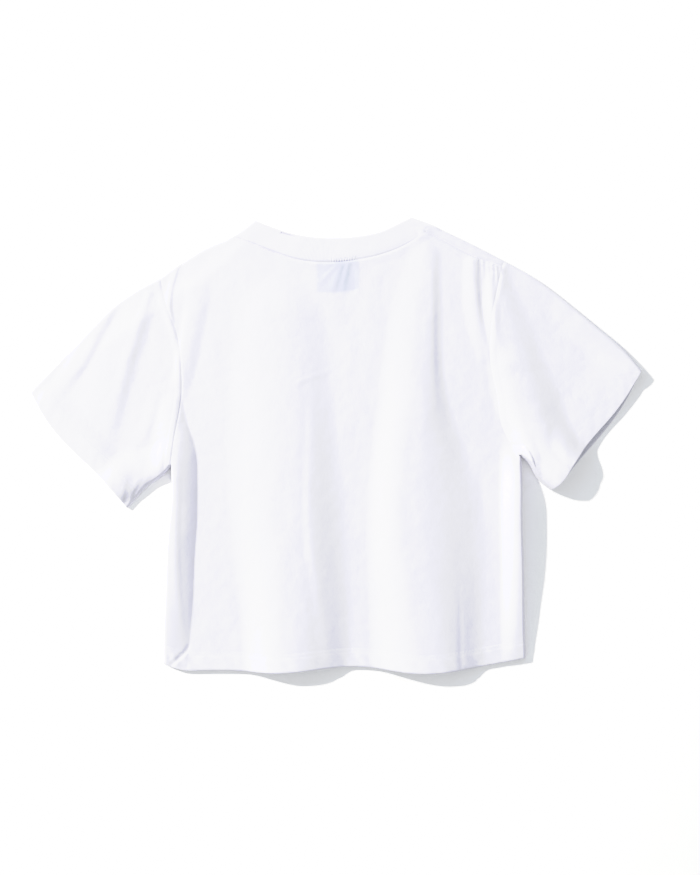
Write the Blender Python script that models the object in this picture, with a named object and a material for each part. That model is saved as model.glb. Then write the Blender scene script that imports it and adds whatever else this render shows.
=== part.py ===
"""A cropped jersey top with short sleeves and a rib neckband, laid flat on a table with its back up.

+Z is up off the table, +Y runs from the hem to the neck and +X to the wearer's right. The origin is on the
table, under the middle of the garment. The tables and sizes are in millimetres, and the meshes in metres.

The upper layer is one height field: a base height, the folds added to it, and a round turn down to the table
along every folded edge. Each piece samples it over its own outline, as a sheet of mid-wall points. The sheet
is then given its thickness.
"""

import math

import bpy
import numpy as np

MM = 0.001
SHARP_ANGLE = math.radians(50)

# Cloth walls
WALL = 1.2
RIB_WALL = 2.0
LABEL_WALL = 1.0
SEAM_GAP = 0.3
HALF_GAP = SEAM_GAP / 2
TURN_UP = 18.0
TURN_UP_WALL = 1.9
# The step from one layer to two lies between these distances beyond the turned-up edge.
STEP_START = -0.5
STEP_END = 0.5
# The lower layer's step is allowed for a little further in, so that the back clears it.
STEP_CLEAR = 1.5

# Heights of the middle of each wall
LOWER_Z = WALL / 2
UPPER_Z = 5.0
LEAST_CLEARANCE = 0.35
SLEEVE_TURN = 2.2
BAND_LOWER_Z = RIB_WALL / 2
BAND_TURN = 2.0
# Beside the neckband's folds the other pieces rise over its lower half.
NECK_RISE = 3.6
NECK_RISE_REACH = 12.0
# A tube's seam stands back from the body near its two folds, where four pieces meet.
CORNER_GAP = 0.9
CORNER_REACH = 6.0

# The round turn at a folded edge: its width follows its height up to this much
TURN_SHARE = 1.0
TURN_LEAST = 0.5
NARROWEST_TURN = 1.0
TURN_MOST = 3.2

LABEL_WIDTH = 44.0
LABEL_LENGTH = 32.0
LABEL_CENTRE_X = 2.0
LABEL_BELOW_SEAM = 1.0
# The neckband thins to this share of its wall at its folded free edge.
RIB_EDGE_SHARE = 0.6
RIB_EDGE_REACH = 3.0

JERSEY_ROUGHNESS = 0.85
LABEL_ROUGHNESS = 0.6


def table(columns, *rows):
    """A short table as {column: array}."""
    return {name: np.array(values, float) for name, values in zip(columns.split(), zip(*rows))}


# The sides of the body, from the hem corner up to the armpit.
LEFT_SIDE = table("x y", (-181, -229), (-181, -205), (-179, -152), (-176, -89), (-172, -45), (-173, -23))
RIGHT_SIDE = table(
    "x y",
    (199, -223),
    (198, -197),
    (197, -142),
    (196, -107),
    (195, -71),
    (195, -39),
    (194, -12),
)

# The armhole seams, from the armpit up to the shoulder. The right one ends on the folded shoulder edge.
LEFT_ARMHOLE = table(
    "x y",
    (-173, -23),
    (-168, 14),
    (-162, 52),
    (-162, 79),
    (-167, 117),
    (-177, 144),
    (-184, 175),
)
RIGHT_ARMHOLE = table(
    "x y",
    (194, -12),
    (182, 4),
    (174, 20),
    (169, 49),
    (162, 85),
    (162, 121),
    (165, 146),
    (170, 169),
    (174, 187),
    (176, 193),
)
SHOULDER_ROLL = 6.0  # how far in from the folded edge the right shoulder seam meets the armhole

# The shoulders, from the neck out to the sleeve.
LEFT_SHOULDER = table("x y", (-107, 218), (-138, 205), (-159, 192), (-184, 175))
RIGHT_SHOULDER_EDGE = table("x y", (103, 229), (139, 212), (176, 193))
RIGHT_SHOULDER_SEAM = table("x y", (93, 224), (115, 213), (146, 197), (174.3, 187.6))

# The neck seam and the free edge of the neckband, each from the wearer's left to right.
BACK_NECK = table(
    "x y",
    (-107, 218),
    (-90, 212),
    (-64, 202),
    (-38, 194),
    (-6, 191.5),
    (20, 194),
    (51, 201),
    (78, 213),
    (93, 224),
)
FRONT_NECK = table(
    "x y",
    (-107, 218),
    (-105, 185),
    (-88, 152),
    (-52, 129),
    (-4, 122),
    (46, 128),
    (84, 150),
    (102, 185),
    (103, 229),
)
BACK_BAND_EDGE = table(
    "x y",
    (-85, 235),
    (-59, 225),
    (-38, 219.5),
    (-6, 216.5),
    (25, 218.5),
    (46, 223),
    (66, 232),
    (78, 238),
)
FRONT_BAND_EDGE = table(
    "x y",
    (-85, 235),
    (-82, 192),
    (-69, 167),
    (-42, 150),
    (-4, 144),
    (38, 149),
    (66, 165),
    (79, 192),
    (78, 238),
)

# The sleeves: the folded upper edge and the folded underarm, both from the body out, and the cuffs.
LEFT_SLEEVE_TOP = table("x y", (-184, 175), (-227, 149), (-269, 109), (-306, 70), (-320, 56))
LEFT_UNDERARM = table("x y", (-173, -23), (-182, -32), (-195, -41), (-207, -52.5), (-219, -66))
LEFT_CUFF = table("x y", (-320, 56), (-300, 22), (-274, -7), (-243, -37), (-219, -66))
RIGHT_SLEEVE_TOP = table("x y", (176, 193), (208, 175), (238, 153), (272, 125), (304, 97), (320, 78))
RIGHT_UNDERARM = table("x y", (194, -12), (202, -19), (210, -33), (225, -47))
RIGHT_CUFF = table("x y", (320, 78), (296, 39), (266, 4), (244, -26), (233, -41), (225, -47))
RIGHT_LOWER_CUFF = table("x y", (320, 78), (299, 38), (271, 2), (246, -28), (233.5, -42), (225, -47))

# The hem of the back, and the straighter hem of the front under it.
BACK_HEM = table(
    "x y",
    (-181, -229),
    (-165, -234),
    (-120, -236),
    (-60, -238),
    (-10, -233.5),
    (30, -232.5),
    (85, -238.5),
    (140, -234),
    (199, -223),
)
FRONT_HEM = table("x y", (-181, -229), (-120, -234), (0, -231), (110, -234), (199, -223))

# The folds of the upper layer. Each has stations from its lower end to its upper end. Height is over or under
# the base, and left and right are how far the fold spreads to either side of its line.
FOLDS = {
    "left wave": table(
        "x y height left right",
        (-52, -240, 14.3, 46, 68),
        (-50, -150, 10.5, 54, 68),
        (-54, -50, 7.5, 62, 64),
        (-60, 130, 2.5, 50, 50),
    ),
    "right wave": table(
        "x y height left right",
        (98, -240, 13.8, 63, 60),
        (82, -140, 11, 50, 78),
        (75, -40, 9, 42, 78),
        (86, 60, 6, 42, 32),
        (92, 140, 2.9, 38, 20),
        (97, 195, 1.2, 25, 14),
    ),
    "right side": table(
        "x y height left right",
        (193, -225, 1.2, 22, 22),
        (193, -188, 6.5, 21, 22),
        (193, -156, 10, 21, 22),
        (193, -108, 15, 21, 22),
        (192, -66, 16.3, 21, 22),
        (192, -40, 14, 21, 24),
        (191, -18, 7, 20, 24),
        (190, 0, 0.8, 18, 20),
    ),
    "left drag": table(
        "x y height left right",
        (-166, 50, 0.3, 12, 12),
        (-158, 100, 1.7, 10, 18),
        (-146, 162, 0.6, 14, 16),
    ),
    "right drag": table(
        "x y height left right",
        (156, 92, 0.4, 10, 8),
        (146, 145, 1.4, 14, 8),
        (144, 190, 1.2, 12, 8),
    ),
    "left shoulder": table(
        "x y height left right",
        (-318, 58, -0.8, 20, 20),
        (-255, 122, -1.8, 26, 26),
        (-184, 175, -2.2, 28, 28),
        (-125, 210, -1.5, 22, 22),
        (-104, 220, -0.5, 14, 14),
    ),
    "left sleeve crest": table(
        "x y height left right",
        (-250, 6, 0.5, 30, 26),
        (-236, 58, 2, 42, 24),
        (-219, 110, 2, 40, 22),
        (-203, 150, 1.3, 26, 18),
        (-194, 172, 0.4, 14, 12),
    ),
    "left sleeve side": table(
        "x y height left right",
        (-286, 64, 0.6, 14, 13),
        (-264, 101, 2.2, 14, 15),
        (-236, 150, 0.6, 12, 12),
    ),
    "left cuff": table(
        "x y height left right",
        (-240, -30, 2.6, 34, 30),
        (-270, -2, 2.6, 34, 30),
        (-300, 34, 2, 30, 30),
    ),
    "left underarm": table(
        "x y height left right",
        (-236, -52, 5, 30, 17),
        (-221, -44, 5.2, 34, 16),
        (-206, -33, 4.6, 34, 16),
        (-192, -22, 3, 28, 15),
        (-180, -6, 0.8, 14, 12),
    ),
    "right sleeve crest": table(
        "x y height left right",
        (204, 20, 0.4, 30, 30),
        (197, 42, 1.4, 34, 40),
        (188, 72, 3, 30, 38),
        (176, 112, 3.3, 24, 36),
        (169, 150, 2.6, 18, 26),
        (166, 184, 0.8, 10, 14),
    ),
    "right underarm": table(
        "x y height left right",
        (248, -47, 18.5, 20, 50),
        (236, -37, 19, 22, 50),
        (224, -24, 17.6, 23, 46),
        (211, -6, 14.4, 24, 46),
        (201, 15, 10.4, 24, 46),
        (193, 40, 6, 26, 46),
        (186, 74, 1.6, 24, 40),
    ),
    "right cuff top": table(
        "x y height left right",
        (321, 76, 3.6, 18, 22),
        (290, 98, 3, 22, 26),
        (245, 138, 1, 22, 24),
    ),
    "right cuff": table(
        "x y height left right",
        (247, -25, 1, 30, 20),
        (254, -16, 4.5, 40, 20),
        (262, -6, 3.6, 50, 22),
        (272, 8, 1.5, 55, 24),
        (288, 29, 1.2, 56, 28),
        (308, 58, 2.6, 56, 30),
    ),
}
# A tuck is steepest on its line, climbs to the left of it, and comes down again beyond its crest.
TUCKS = {
    "left tuck": table(
        "x y height left right",
        (-156, -240, 0.6, 48, 1),
        (-155, -222, 2, 48, 1),
        (-152.5, -195, 4.4, 52, 1),
        (-149.6, -163, 6, 55, 1),
        (-148.1, -121, 7, 57, 1),
        (-145.4, -79, 7.3, 58, 1),
        (-145, -40, 7.3, 58, 1),
        (-146, -12, 6.8, 56, 1),
        (-150, 6, 5.8, 50, 1),
        (-156.5, 24, 3.8, 40, 1),
        (-162, 56, 0.2, 22, 1),
    ),
}
TUCK_CREST = 0.42
FOLD_POWER = 1.4
FOLD_SAMPLES = 48
EDGE_SAMPLES = 40
FINE_SAMPLES = 400
SMALLEST = 1e-9

# How many cells each stretch of the sheets is cut into.
EDGE_STEPS = (0.3, 1.2, 2.8, 4.8)
SIDE_CELLS = 13
ARMHOLE_CELLS = 17
SHOULDER_CELLS = 9
BACK_NECK_CELLS = 18
FRONT_NECK_CELLS = 24
FRONT_HEM_CELLS = 24
SLEEVE_CELLS = 9
BAND_CELLS = 3
LABEL_CELLS = 6
# The rows of points of a turned-up hem: the edge, and both sides of its step.
TURN_UP_ROWS = 3

WHITE_JERSEY = (0.91, 0.92, 0.95, 1.0)
WHITE_RIB = (0.90, 0.91, 0.94, 1.0)
LABEL_CLOTH = (0.80, 0.83, 0.91, 1.0)


def points(rows):
    """The x and y columns of a table as points."""
    return np.stack([rows["x"], rows["y"]], axis=1)


def spline(knots, at):
    """A natural cubic curve through the knots, read at shares of their chord length."""
    steps = np.linalg.norm(np.diff(knots[:, :2], axis=0), axis=1)
    along = np.concatenate([[0], np.cumsum(steps)]) / steps.sum()
    gaps = np.diff(along)
    count = len(knots)
    system = np.eye(count)
    slopes = np.zeros_like(knots)
    for i in range(1, count - 1):
        system[i, i - 1 : i + 2] = gaps[i - 1], 2 * (gaps[i - 1] + gaps[i]), gaps[i]
        slopes[i] = 6 * ((knots[i + 1] - knots[i]) / gaps[i] - (knots[i] - knots[i - 1]) / gaps[i - 1])
    bends = np.linalg.solve(system, slopes)
    at = np.clip(at, 0, 1)
    cell = np.clip(np.searchsorted(along, at, side="right") - 1, 0, count - 2)
    width = gaps[cell][:, None]
    after = (at - along[cell])[:, None]
    before = width - after
    cubic = (bends[cell] * before**3 + bends[cell + 1] * after**3) / (6 * width)
    straight = (knots[cell] / width - bends[cell] * width / 6) * before
    return cubic + straight + (knots[cell + 1] / width - bends[cell + 1] * width / 6) * after


def length_of(line):
    return np.linalg.norm(np.diff(line, axis=0), axis=1).sum()


def evenly(knots, shares):
    """The curve read at shares of its real length."""
    fine = np.linspace(0, 1, FINE_SAMPLES)
    line = spline(knots, fine)
    along = np.concatenate([[0], np.cumsum(np.linalg.norm(np.diff(line, axis=0), axis=1))])
    return spline(knots, np.interp(shares, along / along[-1], fine))


def stations(length, cells, dense_start=False, dense_end=False):
    """Shares from 0 to 1, with close steps at an end that turns over a folded edge."""
    close = np.array(EDGE_STEPS) / length
    first = close[-1] if dense_start else 0.0
    last = 1 - close[-1] if dense_end else 1.0
    even = np.linspace(first, last, cells + 1 - len(close) * (dense_start + dense_end))
    parts = [even]
    if dense_start:
        parts.insert(0, np.concatenate([[0.0], close[:-1]]))
    if dense_end:
        parts.append(np.concatenate([1 - close[-2::-1], [1.0]]))
    return np.concatenate(parts)


def across(line):
    """The unit vector to the left of a line at each of its points, in plan."""
    run = np.gradient(line[:, :2], axis=0)
    run /= np.linalg.norm(run, axis=1)[:, None]
    return np.stack([-run[:, 1], run[:, 0]], axis=1)


def moved(line, distance):
    """The line moved to its left by a distance."""
    return line + across(line) * distance


def stood_back(line, distance):
    """The line moved to its left by a distance, and further near its two ends."""
    ends = np.linalg.norm(line[:, None] - line[[0, -1]][None], axis=2).min(axis=1)
    further = CORNER_GAP * smooth(1 - ends / CORNER_REACH)
    return line + across(line) * (distance + math.copysign(1, distance) * further)[:, None]


def smooth(share):
    share = np.clip(share, 0, 1)
    return share * share * (3 - 2 * share)


def nearest(at, line):
    """For each point, its distance to a line, its side and its place along it from 0 to 1.

    The side is 1 to the left and -1 to the right. Past the line's ends it runs evenly from one to the other.
    """
    start = line[:-1, :2]
    run = line[1:, :2] - start
    offset = at[:, None] - start[None]
    share = np.clip((offset * run).sum(-1) / (run**2).sum(-1), 0, 1)
    gap = offset - share[..., None] * run
    distance = np.linalg.norm(gap, axis=-1)
    index = distance.argmin(axis=1)
    every = np.arange(len(at))
    turned = run[index, 0] * gap[every, index, 1] - run[index, 1] * gap[every, index, 0]
    place = (index + share[every, index]) / len(run)
    reach = distance[every, index] * np.linalg.norm(run[index], axis=1)
    return distance[every, index], turned / np.maximum(reach, SMALLEST), place


def folded_edges():
    """The lines along which the garment is folded over: neck to cuff and cuff to hem, on both sides."""
    fine = np.linspace(0, 1, EDGE_SAMPLES)
    runs = (
        (BACK_BAND_EDGE, 0, LEFT_SHOULDER, LEFT_SLEEVE_TOP),
        (BACK_BAND_EDGE, -1, RIGHT_SHOULDER_EDGE, RIGHT_SLEEVE_TOP),
        (None, 0, LEFT_SIDE, LEFT_UNDERARM),
        (None, 0, RIGHT_SIDE, RIGHT_UNDERARM),
    )
    lines = []
    for neck, end, body, sleeve in runs:
        start = [] if neck is None else [points(neck)[[end]]]
        lines.append(np.concatenate(start + [spline(points(body), fine), spline(points(sleeve), fine)[1:]]))
    return lines


FOLDED_EDGES = folded_edges()


def dense_lines(folds):
    """Each fold as a dense line, with its height and both of its widths at every point."""
    shares = np.linspace(0, 1, FOLD_SAMPLES)
    return [spline(np.stack(list(rows.values()), axis=1), shares) for rows in folds.values()]


FOLD_LINES = dense_lines(FOLDS)
TUCK_LINES = dense_lines(TUCKS)


def beside_fold(at, line):
    """A fold's height at the nearest place along it, the side, and the distance as a share of its width."""
    distance, side, place = nearest(at, line)
    index = place * (len(line) - 1)
    every = np.arange(len(line))
    height, left, right = (np.interp(index, every, line[:, k]) for k in (2, 3, 4))
    width = (left * (1 + side) + right * (1 - side)) / 2
    return height, side, np.clip(distance / width, 0, 1)


def fold_height(at):
    """The height over the base at plan points, of the round folds and the tucks."""
    total = np.zeros(len(at))
    for line in FOLD_LINES:
        height, _, share = beside_fold(at, line)
        total += height * np.cos(math.pi / 2 * share**FOLD_POWER) ** 2
    for line in TUCK_LINES:
        height, side, share = beside_fold(at, line)
        climb = np.minimum(share / TUCK_CREST, 1)
        fall = np.maximum(share - TUCK_CREST, 0) / (1 - TUCK_CREST)
        total += height * np.maximum(side, 0) * climb * (2 - climb) * np.cos(math.pi / 2 * fall) ** 2
    return total


def distance_to(at, lines):
    return np.min([nearest(at, line)[0] for line in lines], axis=0)


def neck_rise(at):
    """How much higher a folded shoulder edge lies near the neck, where it passes over the neckband."""
    corners = np.array([points(LEFT_SHOULDER)[0], points(RIGHT_SHOULDER_EDGE)[0]])
    reach = np.linalg.norm(at[:, None] - corners[None], axis=2).min(axis=1)
    return NECK_RISE * smooth(1 - reach / NECK_RISE_REACH)


def turn(distance, height):
    """The share of its full height that a layer reaches at a distance in from its edge: a quarter ellipse."""
    width = np.clip(TURN_SHARE * height + TURN_LEAST, NARROWEST_TURN, TURN_MOST)
    share = np.clip(distance / width, 0, 1)
    return np.sqrt(1 - (1 - share) ** 2)


def lower_wall(at, hem=None):
    """The height of the inner face of the lower layer, which is thicker where the hem is turned up."""
    if hem is None:
        return np.full(len(at), WALL)
    band = smooth(TURN_UP + STEP_CLEAR - distance_to(at, hem))
    return WALL + (TURN_UP_WALL - WALL) * band


def upper(at, edge_z, hem=None):
    """The middle of the upper layer's wall at plan points. edge_z is its height on the folded edge."""
    least = lower_wall(at, hem) + TURN_UP_WALL / 2 + LEAST_CLEARANCE
    top = np.maximum(UPPER_Z + fold_height(at), least)
    return edge_z + (top - edge_z) * turn(distance_to(at, FOLDED_EDGES), top - edge_z)


def lower(at, edge_z, edges, wall_z=LOWER_Z):
    """The middle of the lower layer's wall: flat on the table, and turned up to edge_z at the given edges."""
    distance = distance_to(at, edges)
    share = np.clip(distance / (edge_z - wall_z), 0, 1)
    return edge_z - (edge_z - wall_z) * np.sqrt(1 - (1 - share) ** 2)


def coons(bottom, top, left, right, u, v):
    """A sheet of plan points between four edges, at shares u across and v up.

    left and right hold a point for each row, or for each point of the sheet where the rows aren't even.
    """
    u = u[None, :, None]
    v = v[..., None] if v.ndim == 2 else v[:, None, None]
    left = left if left.ndim == 3 else left[:, None]
    right = right if right.ndim == 3 else right[:, None]
    ruled = (1 - v) * bottom[None] + v * top[None] + (1 - u) * left + u * right
    corners = (1 - v) * ((1 - u) * bottom[0] + u * bottom[-1]) + v * ((1 - u) * top[0] + u * top[-1])
    return ruled - corners


def joined(*lines):
    """Lines end to end, with each shared point kept once."""
    return np.concatenate([lines[0]] + [line[1:] for line in lines[1:]])


def faces_of(grid, down=False):
    """The four-sided faces of a grid of points, facing up where rows run up and columns to the right."""
    faces = []
    for below, above in zip(grid, grid[1:]):
        for i in range(len(below) - 1):
            face = [below[i], below[i + 1], above[i + 1], above[i]]
            faces.append(np.array(face[::-1] if down else face))
    return faces


def welded(faces):
    """Faces given by their corners' places, as one list of points and the faces' indices into it."""
    corners = np.round(np.concatenate(faces), 4)
    at, index = np.unique(corners, axis=0, return_inverse=True)
    ends = np.cumsum([len(face) for face in faces])
    return at, [tuple(part) for part in np.split(index.reshape(-1), ends[:-1])]


def indices_of(places, at):
    """Which of the sheet's points lie at these places."""
    return np.array([np.linalg.norm(at - place, axis=1).argmin() for place in places])


def vertex_normals(at, faces):
    normals = np.zeros_like(at)
    for face in faces:
        ring = at[list(face)]
        normals[list(face)] += np.cross(ring, np.roll(ring, -1, axis=0)).sum(axis=0)
    return normals / np.linalg.norm(normals, axis=1)[:, None]


def solid(name, corners, look, parent, outside, inside, ledges=(), cuts=()):
    """A piece with a closed wall about a sheet: outside and inside give how far its faces lie from the sheet.

    A ledge is a row of points where the wall ends in a level face. A cut is a seam line in plan, with the row
    of points along it, where the wall ends in an upright plane along the seam.
    """
    at, faces = welded(corners)
    direction = vertex_normals(at, faces)
    for row in ledges:
        index = indices_of(row, at)
        direction[index, 2] = 0
        direction[index] /= np.linalg.norm(direction[index], axis=1)[:, None]
    for line, row in cuts:
        index = indices_of(row, at)
        side = np.column_stack([across(line), np.zeros(len(line))])
        direction[index] -= (direction[index] * side).sum(axis=1)[:, None] * side
    outer = at + direction * outside(at)[:, None]
    inner = at - direction * inside(at)[:, None]
    count = len(at)
    made = list(faces) + [tuple(count + k for k in reversed(face)) for face in faces]
    edges = {(a, b) for face in faces for a, b in zip(face, face[1:] + face[:1])}
    made += sorted((b, a, count + a, count + b) for a, b in edges if (b, a) not in edges)
    mesh = bpy.data.meshes.new(name)
    mesh.from_pydata((np.concatenate([outer, inner]) * MM).tolist(), [], made)
    mesh.shade_smooth()
    mesh.set_sharp_from_angle(angle=SHARP_ANGLE)
    mesh.materials.append(look)
    piece = bpy.data.objects.new(name, mesh)
    piece.parent = parent
    bpy.context.scene.collection.objects.link(piece)


def material(name, colour, roughness):
    made = bpy.data.materials.new(name)
    made.use_nodes = True
    shader = made.node_tree.nodes["Principled BSDF"]
    shader.inputs["Base Color"].default_value = colour
    shader.inputs["Roughness"].default_value = roughness
    shader.inputs["Metallic"].default_value = 0.0
    made.diffuse_color = colour
    return made


def half_wall(at):
    return np.full(len(at), WALL / 2)


def turned_up_wall(edges):
    """The inner half of the wall, with the second layer of a hem or cuff along these edges."""

    def depth(at):
        return WALL / 2 + (TURN_UP_WALL - WALL) * smooth(TURN_UP + STEP_END - distance_to(at[:, :2], edges))

    return depth


def lifted(plan, height):
    """A grid of plan points with its heights."""
    rows, columns = plan.shape[:2]
    return np.concatenate([plan, height(plan.reshape(-1, 2)).reshape(rows, columns, 1)], axis=2)


def side_shares():
    """The rows up a side, with two close ones where the turned-up hem ends."""
    length = length_of(points(LEFT_SIDE))
    even = np.linspace(0, 1, SIDE_CELLS + 1)[TURN_UP_ROWS - 1 :]
    return np.concatenate([[0, (TURN_UP + STEP_START) / length, (TURN_UP + STEP_END) / length], even])


def make_seams():
    """The seam lines that pieces share, and the stations along them."""
    left = points(LEFT_ARMHOLE)
    right = points(RIGHT_ARMHOLE)
    back_neck = points(BACK_NECK)
    front_neck = points(FRONT_NECK)
    shoulder = points(RIGHT_SHOULDER_SEAM)
    edge_start = points(RIGHT_SHOULDER_EDGE)[0]
    armhole = length_of(right)
    crossing = 1 - SHOULDER_ROLL / armhole
    roll = np.array((SHOULDER_ROLL,) + EDGE_STEPS[-2::-1] + (0,))
    shoulder[-1] = evenly(right, np.array([crossing]))[0]
    return {
        "left armhole": evenly(left, stations(length_of(left), ARMHOLE_CELLS, True, True)),
        "right armhole": evenly(right, stations(armhole, ARMHOLE_CELLS, True, True)),
        "right armhole, back": evenly(right, crossing * stations(armhole, ARMHOLE_CELLS, True)),
        "right armhole, roll": evenly(right, 1 - roll / armhole),
        "right shoulder": evenly(shoulder, stations(length_of(shoulder), SHOULDER_CELLS)),
        "back neck": evenly(back_neck, stations(length_of(back_neck), BACK_NECK_CELLS, True)),
        "front neck": evenly(front_neck, stations(length_of(front_neck), FRONT_NECK_CELLS, True, True)),
        "neck roll": edge_start + (back_neck[-1] - edge_start) * roll[:, None] / SHOULDER_ROLL,
    }


def make_back(seams, look, parent):
    """The back panel: the height field between the sides, the armholes, the shoulders and the neck seam."""
    side = side_shares()
    left_armhole = moved(seams["left armhole"], -HALF_GAP)
    right_armhole = moved(seams["right armhole, back"], HALF_GAP)
    neck = moved(seams["back neck"], -HALF_GAP)
    seam = moved(seams["right shoulder"], -HALF_GAP)
    shoulder_knots = points(LEFT_SHOULDER)[::-1]
    shoulder = evenly(shoulder_knots, stations(length_of(shoulder_knots), SHOULDER_CELLS, True))
    # Where two seams cross, the corner is moved off both of them.
    neck[-1] += seam[0] - seams["right shoulder"][0]
    right_armhole[-1] += seam[-1] - seams["right shoulder"][-1]
    shoulder[[0, -1]] = left_armhole[-1], neck[0]
    seam[[0, -1]] = neck[-1], right_armhole[-1]
    left = joined(evenly(points(LEFT_SIDE), side), left_armhole)
    right = joined(evenly(points(RIGHT_SIDE), side), right_armhole)
    top = joined(shoulder, neck, seam)
    hem = points(BACK_HEM)
    u = stations(length_of(hem), len(top) - 1, True, True)
    bottom = evenly(hem, u)
    along = np.concatenate([[0], np.cumsum(np.linalg.norm(np.diff(left, axis=0), axis=1))])
    front_hem = [evenly(points(FRONT_HEM), np.linspace(0, 1, EDGE_SAMPLES))]

    def edge_z(at):
        return lower_wall(at, front_hem) + SEAM_GAP + neck_rise(at)

    plan = coons(bottom, top, left, right, u, along / along[-1])
    sheet = lifted(plan, lambda at: upper(at, edge_z(at), front_hem))
    armpit = len(side) - 1
    first = len(shoulder) - 1
    last = first + len(neck) - 1
    ledges = (sheet[: armpit + 1, 0], sheet[: armpit + 1, -1], sheet[-1, : first + 1])
    for row in ledges:
        row[:, 2] = edge_z(row[:, :2])
    cuts = (
        (seams["left armhole"], sheet[armpit:, 0]),
        (seams["right armhole, back"], sheet[armpit:, -1]),
        (seams["back neck"], sheet[-1, first : last + 1]),
        (seams["right shoulder"], sheet[-1, last:]),
    )
    solid("back", faces_of(sheet), look, parent, half_wall, turned_up_wall([bottom]), ledges, cuts)


def make_front(seams, look, parent):
    """The front panel: a flat plate under the back, whose right shoulder is rolled over the folded edge."""
    side = side_shares()
    close = len(EDGE_STEPS)
    left = evenly(points(LEFT_SIDE), side)
    right = evenly(points(RIGHT_SIDE), side)
    u = np.linspace(0, 1, FRONT_HEM_CELLS + 1)
    hem = evenly(points(FRONT_HEM), u)
    rows = [
        hem + (left[row] - left[0]) * (1 - u[:, None]) + (right[row] - right[0]) * u[:, None]
        for row in range(TURN_UP_ROWS)
    ]
    turn_up = np.stack(rows)
    left_armhole = moved(seams["left armhole"], -HALF_GAP)
    right_armhole = moved(seams["right armhole"], HALF_GAP)
    neck = moved(seams["front neck"], -HALF_GAP)
    left_shoulder = evenly(points(LEFT_SHOULDER), np.linspace(0, 1, SHOULDER_CELLS + 1))

    # The shoulder's roll: up from the plate to the folded edge, and over it to the seam with the back.
    u = np.linspace(0, 1, SHOULDER_CELLS + 1)
    edge = evenly(points(RIGHT_SHOULDER_EDGE), u)
    edge[[0, -1]] = neck[-1], right_armhole[-1]
    neck_end = neck[-1 - close :]
    armhole_end = right_armhole[-1 - close :]
    steps = np.array(EDGE_STEPS[::-1] + (0,))
    start = edge + (neck_end[0] - neck_end[-1]) * (1 - u[:, None])
    start += (armhole_end[0] - armhole_end[-1]) * u[:, None]
    under = coons(start, edge, neck_end, armhole_end, u, 1 - steps / steps[0])
    neck_roll = moved(seams["neck roll"], -HALF_GAP)
    armhole_roll = moved(seams["right armhole, roll"], HALF_GAP)
    seam = moved(seams["right shoulder"], HALF_GAP)
    neck_roll[0] += seam[0] - seams["right shoulder"][0]
    armhole_roll[0] += seam[-1] - seams["right shoulder"][-1]
    seam[[0, -1]] = neck_roll[0], armhole_roll[0]
    neck_roll[-1] = edge[0]
    armhole_roll[-1] = edge[-1]
    steps = np.array((SHOULDER_ROLL,) + EDGE_STEPS[-2::-1] + (0,))
    over = coons(seam, edge, neck_roll, armhole_roll, u, 1 - steps / steps[0])

    def edge_z(at):
        return LOWER_Z + SLEEVE_TURN + neck_rise(at) / 2

    turned = [evenly(points(RIGHT_SHOULDER_EDGE), np.linspace(0, 1, EDGE_SAMPLES))]
    under = lifted(under, lambda at: lower(at, edge_z(at), turned))
    over = lifted(over, lambda at: upper(at, edge_z(at)))
    under[-1, :, 2] = over[-1, :, 2] = edge_z(edge)
    outline = joined(
        turn_up[-1],
        right[TURN_UP_ROWS - 1 :],
        right_armhole[:-close],
        under[0, ::-1, :2],
        neck[-close - 1 :: -1],
        left_shoulder,
        left_armhole[::-1],
        left[: TURN_UP_ROWS - 2 : -1],
    )[:-1]
    plate = np.column_stack([outline, np.full(len(outline), LOWER_Z)])
    band = lifted(turn_up, lambda at: np.full(len(at), LOWER_Z))
    corners = faces_of(band, True) + [plate[::-1]] + faces_of(under, True) + faces_of(over[::-1], True)
    cuts = (
        (seams["front neck"][-close - 1 :], under[:, 0]),
        (seams["right armhole"][-close - 1 :], under[:, -1]),
        (seams["neck roll"][:-1], over[:-1, 0]),
        (seams["right armhole, roll"][:-1], over[:-1, -1]),
        (seams["right shoulder"], over[0]),
    )
    solid("front", corners, look, parent, half_wall, turned_up_wall([hem]), (), cuts)


def make_sleeve(name, upper_seam, lower_seam, first_edge, last_edge, upper_cuff, lower_cuff, look, parent):
    """A sleeve as a flattened tube, whose upper layer runs from the first folded edge to the last."""
    layers = []
    edge_z = LOWER_Z + SLEEVE_TURN
    edges = [evenly(knots, np.linspace(0, 1, EDGE_SAMPLES)) for knots in (first_edge, last_edge)]
    for seam, cuff in ((upper_seam, upper_cuff), (lower_seam, lower_cuff)):
        along = np.concatenate([[0], np.cumsum(np.linalg.norm(np.diff(seam, axis=0), axis=1))])
        u = along / along[-1]
        length = length_of(first_edge) * (1 - u) + length_of(last_edge) * u
        band = 1 - (TURN_UP + STEP_END) / length
        rows = [share * band for share in np.linspace(0, 1, SLEEVE_CELLS + 1)]
        v = np.stack(rows + [1 - (TURN_UP + STEP_START) / length, np.ones(len(u))])
        first = evenly(first_edge, v.ravel()).reshape(v.shape + (2,))
        last = evenly(last_edge, v.ravel()).reshape(v.shape + (2,))
        first += (seam[0] - first_edge[0]) * (1 - v[..., None])
        last += (seam[-1] - last_edge[0]) * (1 - v[..., None])
        plan = coons(seam, evenly(cuff, u), first, last, u, v)
        layers.append(plan)
    top = lifted(layers[0], lambda at: upper(at, edge_z))
    bottom = lifted(layers[1], lambda at: lower(at, edge_z, edges))
    bottom[:, [0, -1]] = top[:, [0, -1]]
    top[:, [0, -1], 2] = bottom[:, [0, -1], 2] = edge_z
    cuts = ((upper_seam, top[0]), (lower_seam[1:-1], bottom[0, 1:-1]))
    rims = [layers[0][-1], layers[1][-1]]
    corners = faces_of(top) + faces_of(bottom, True)
    solid(name, corners, look, parent, half_wall, turned_up_wall(rims), (), cuts)


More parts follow.
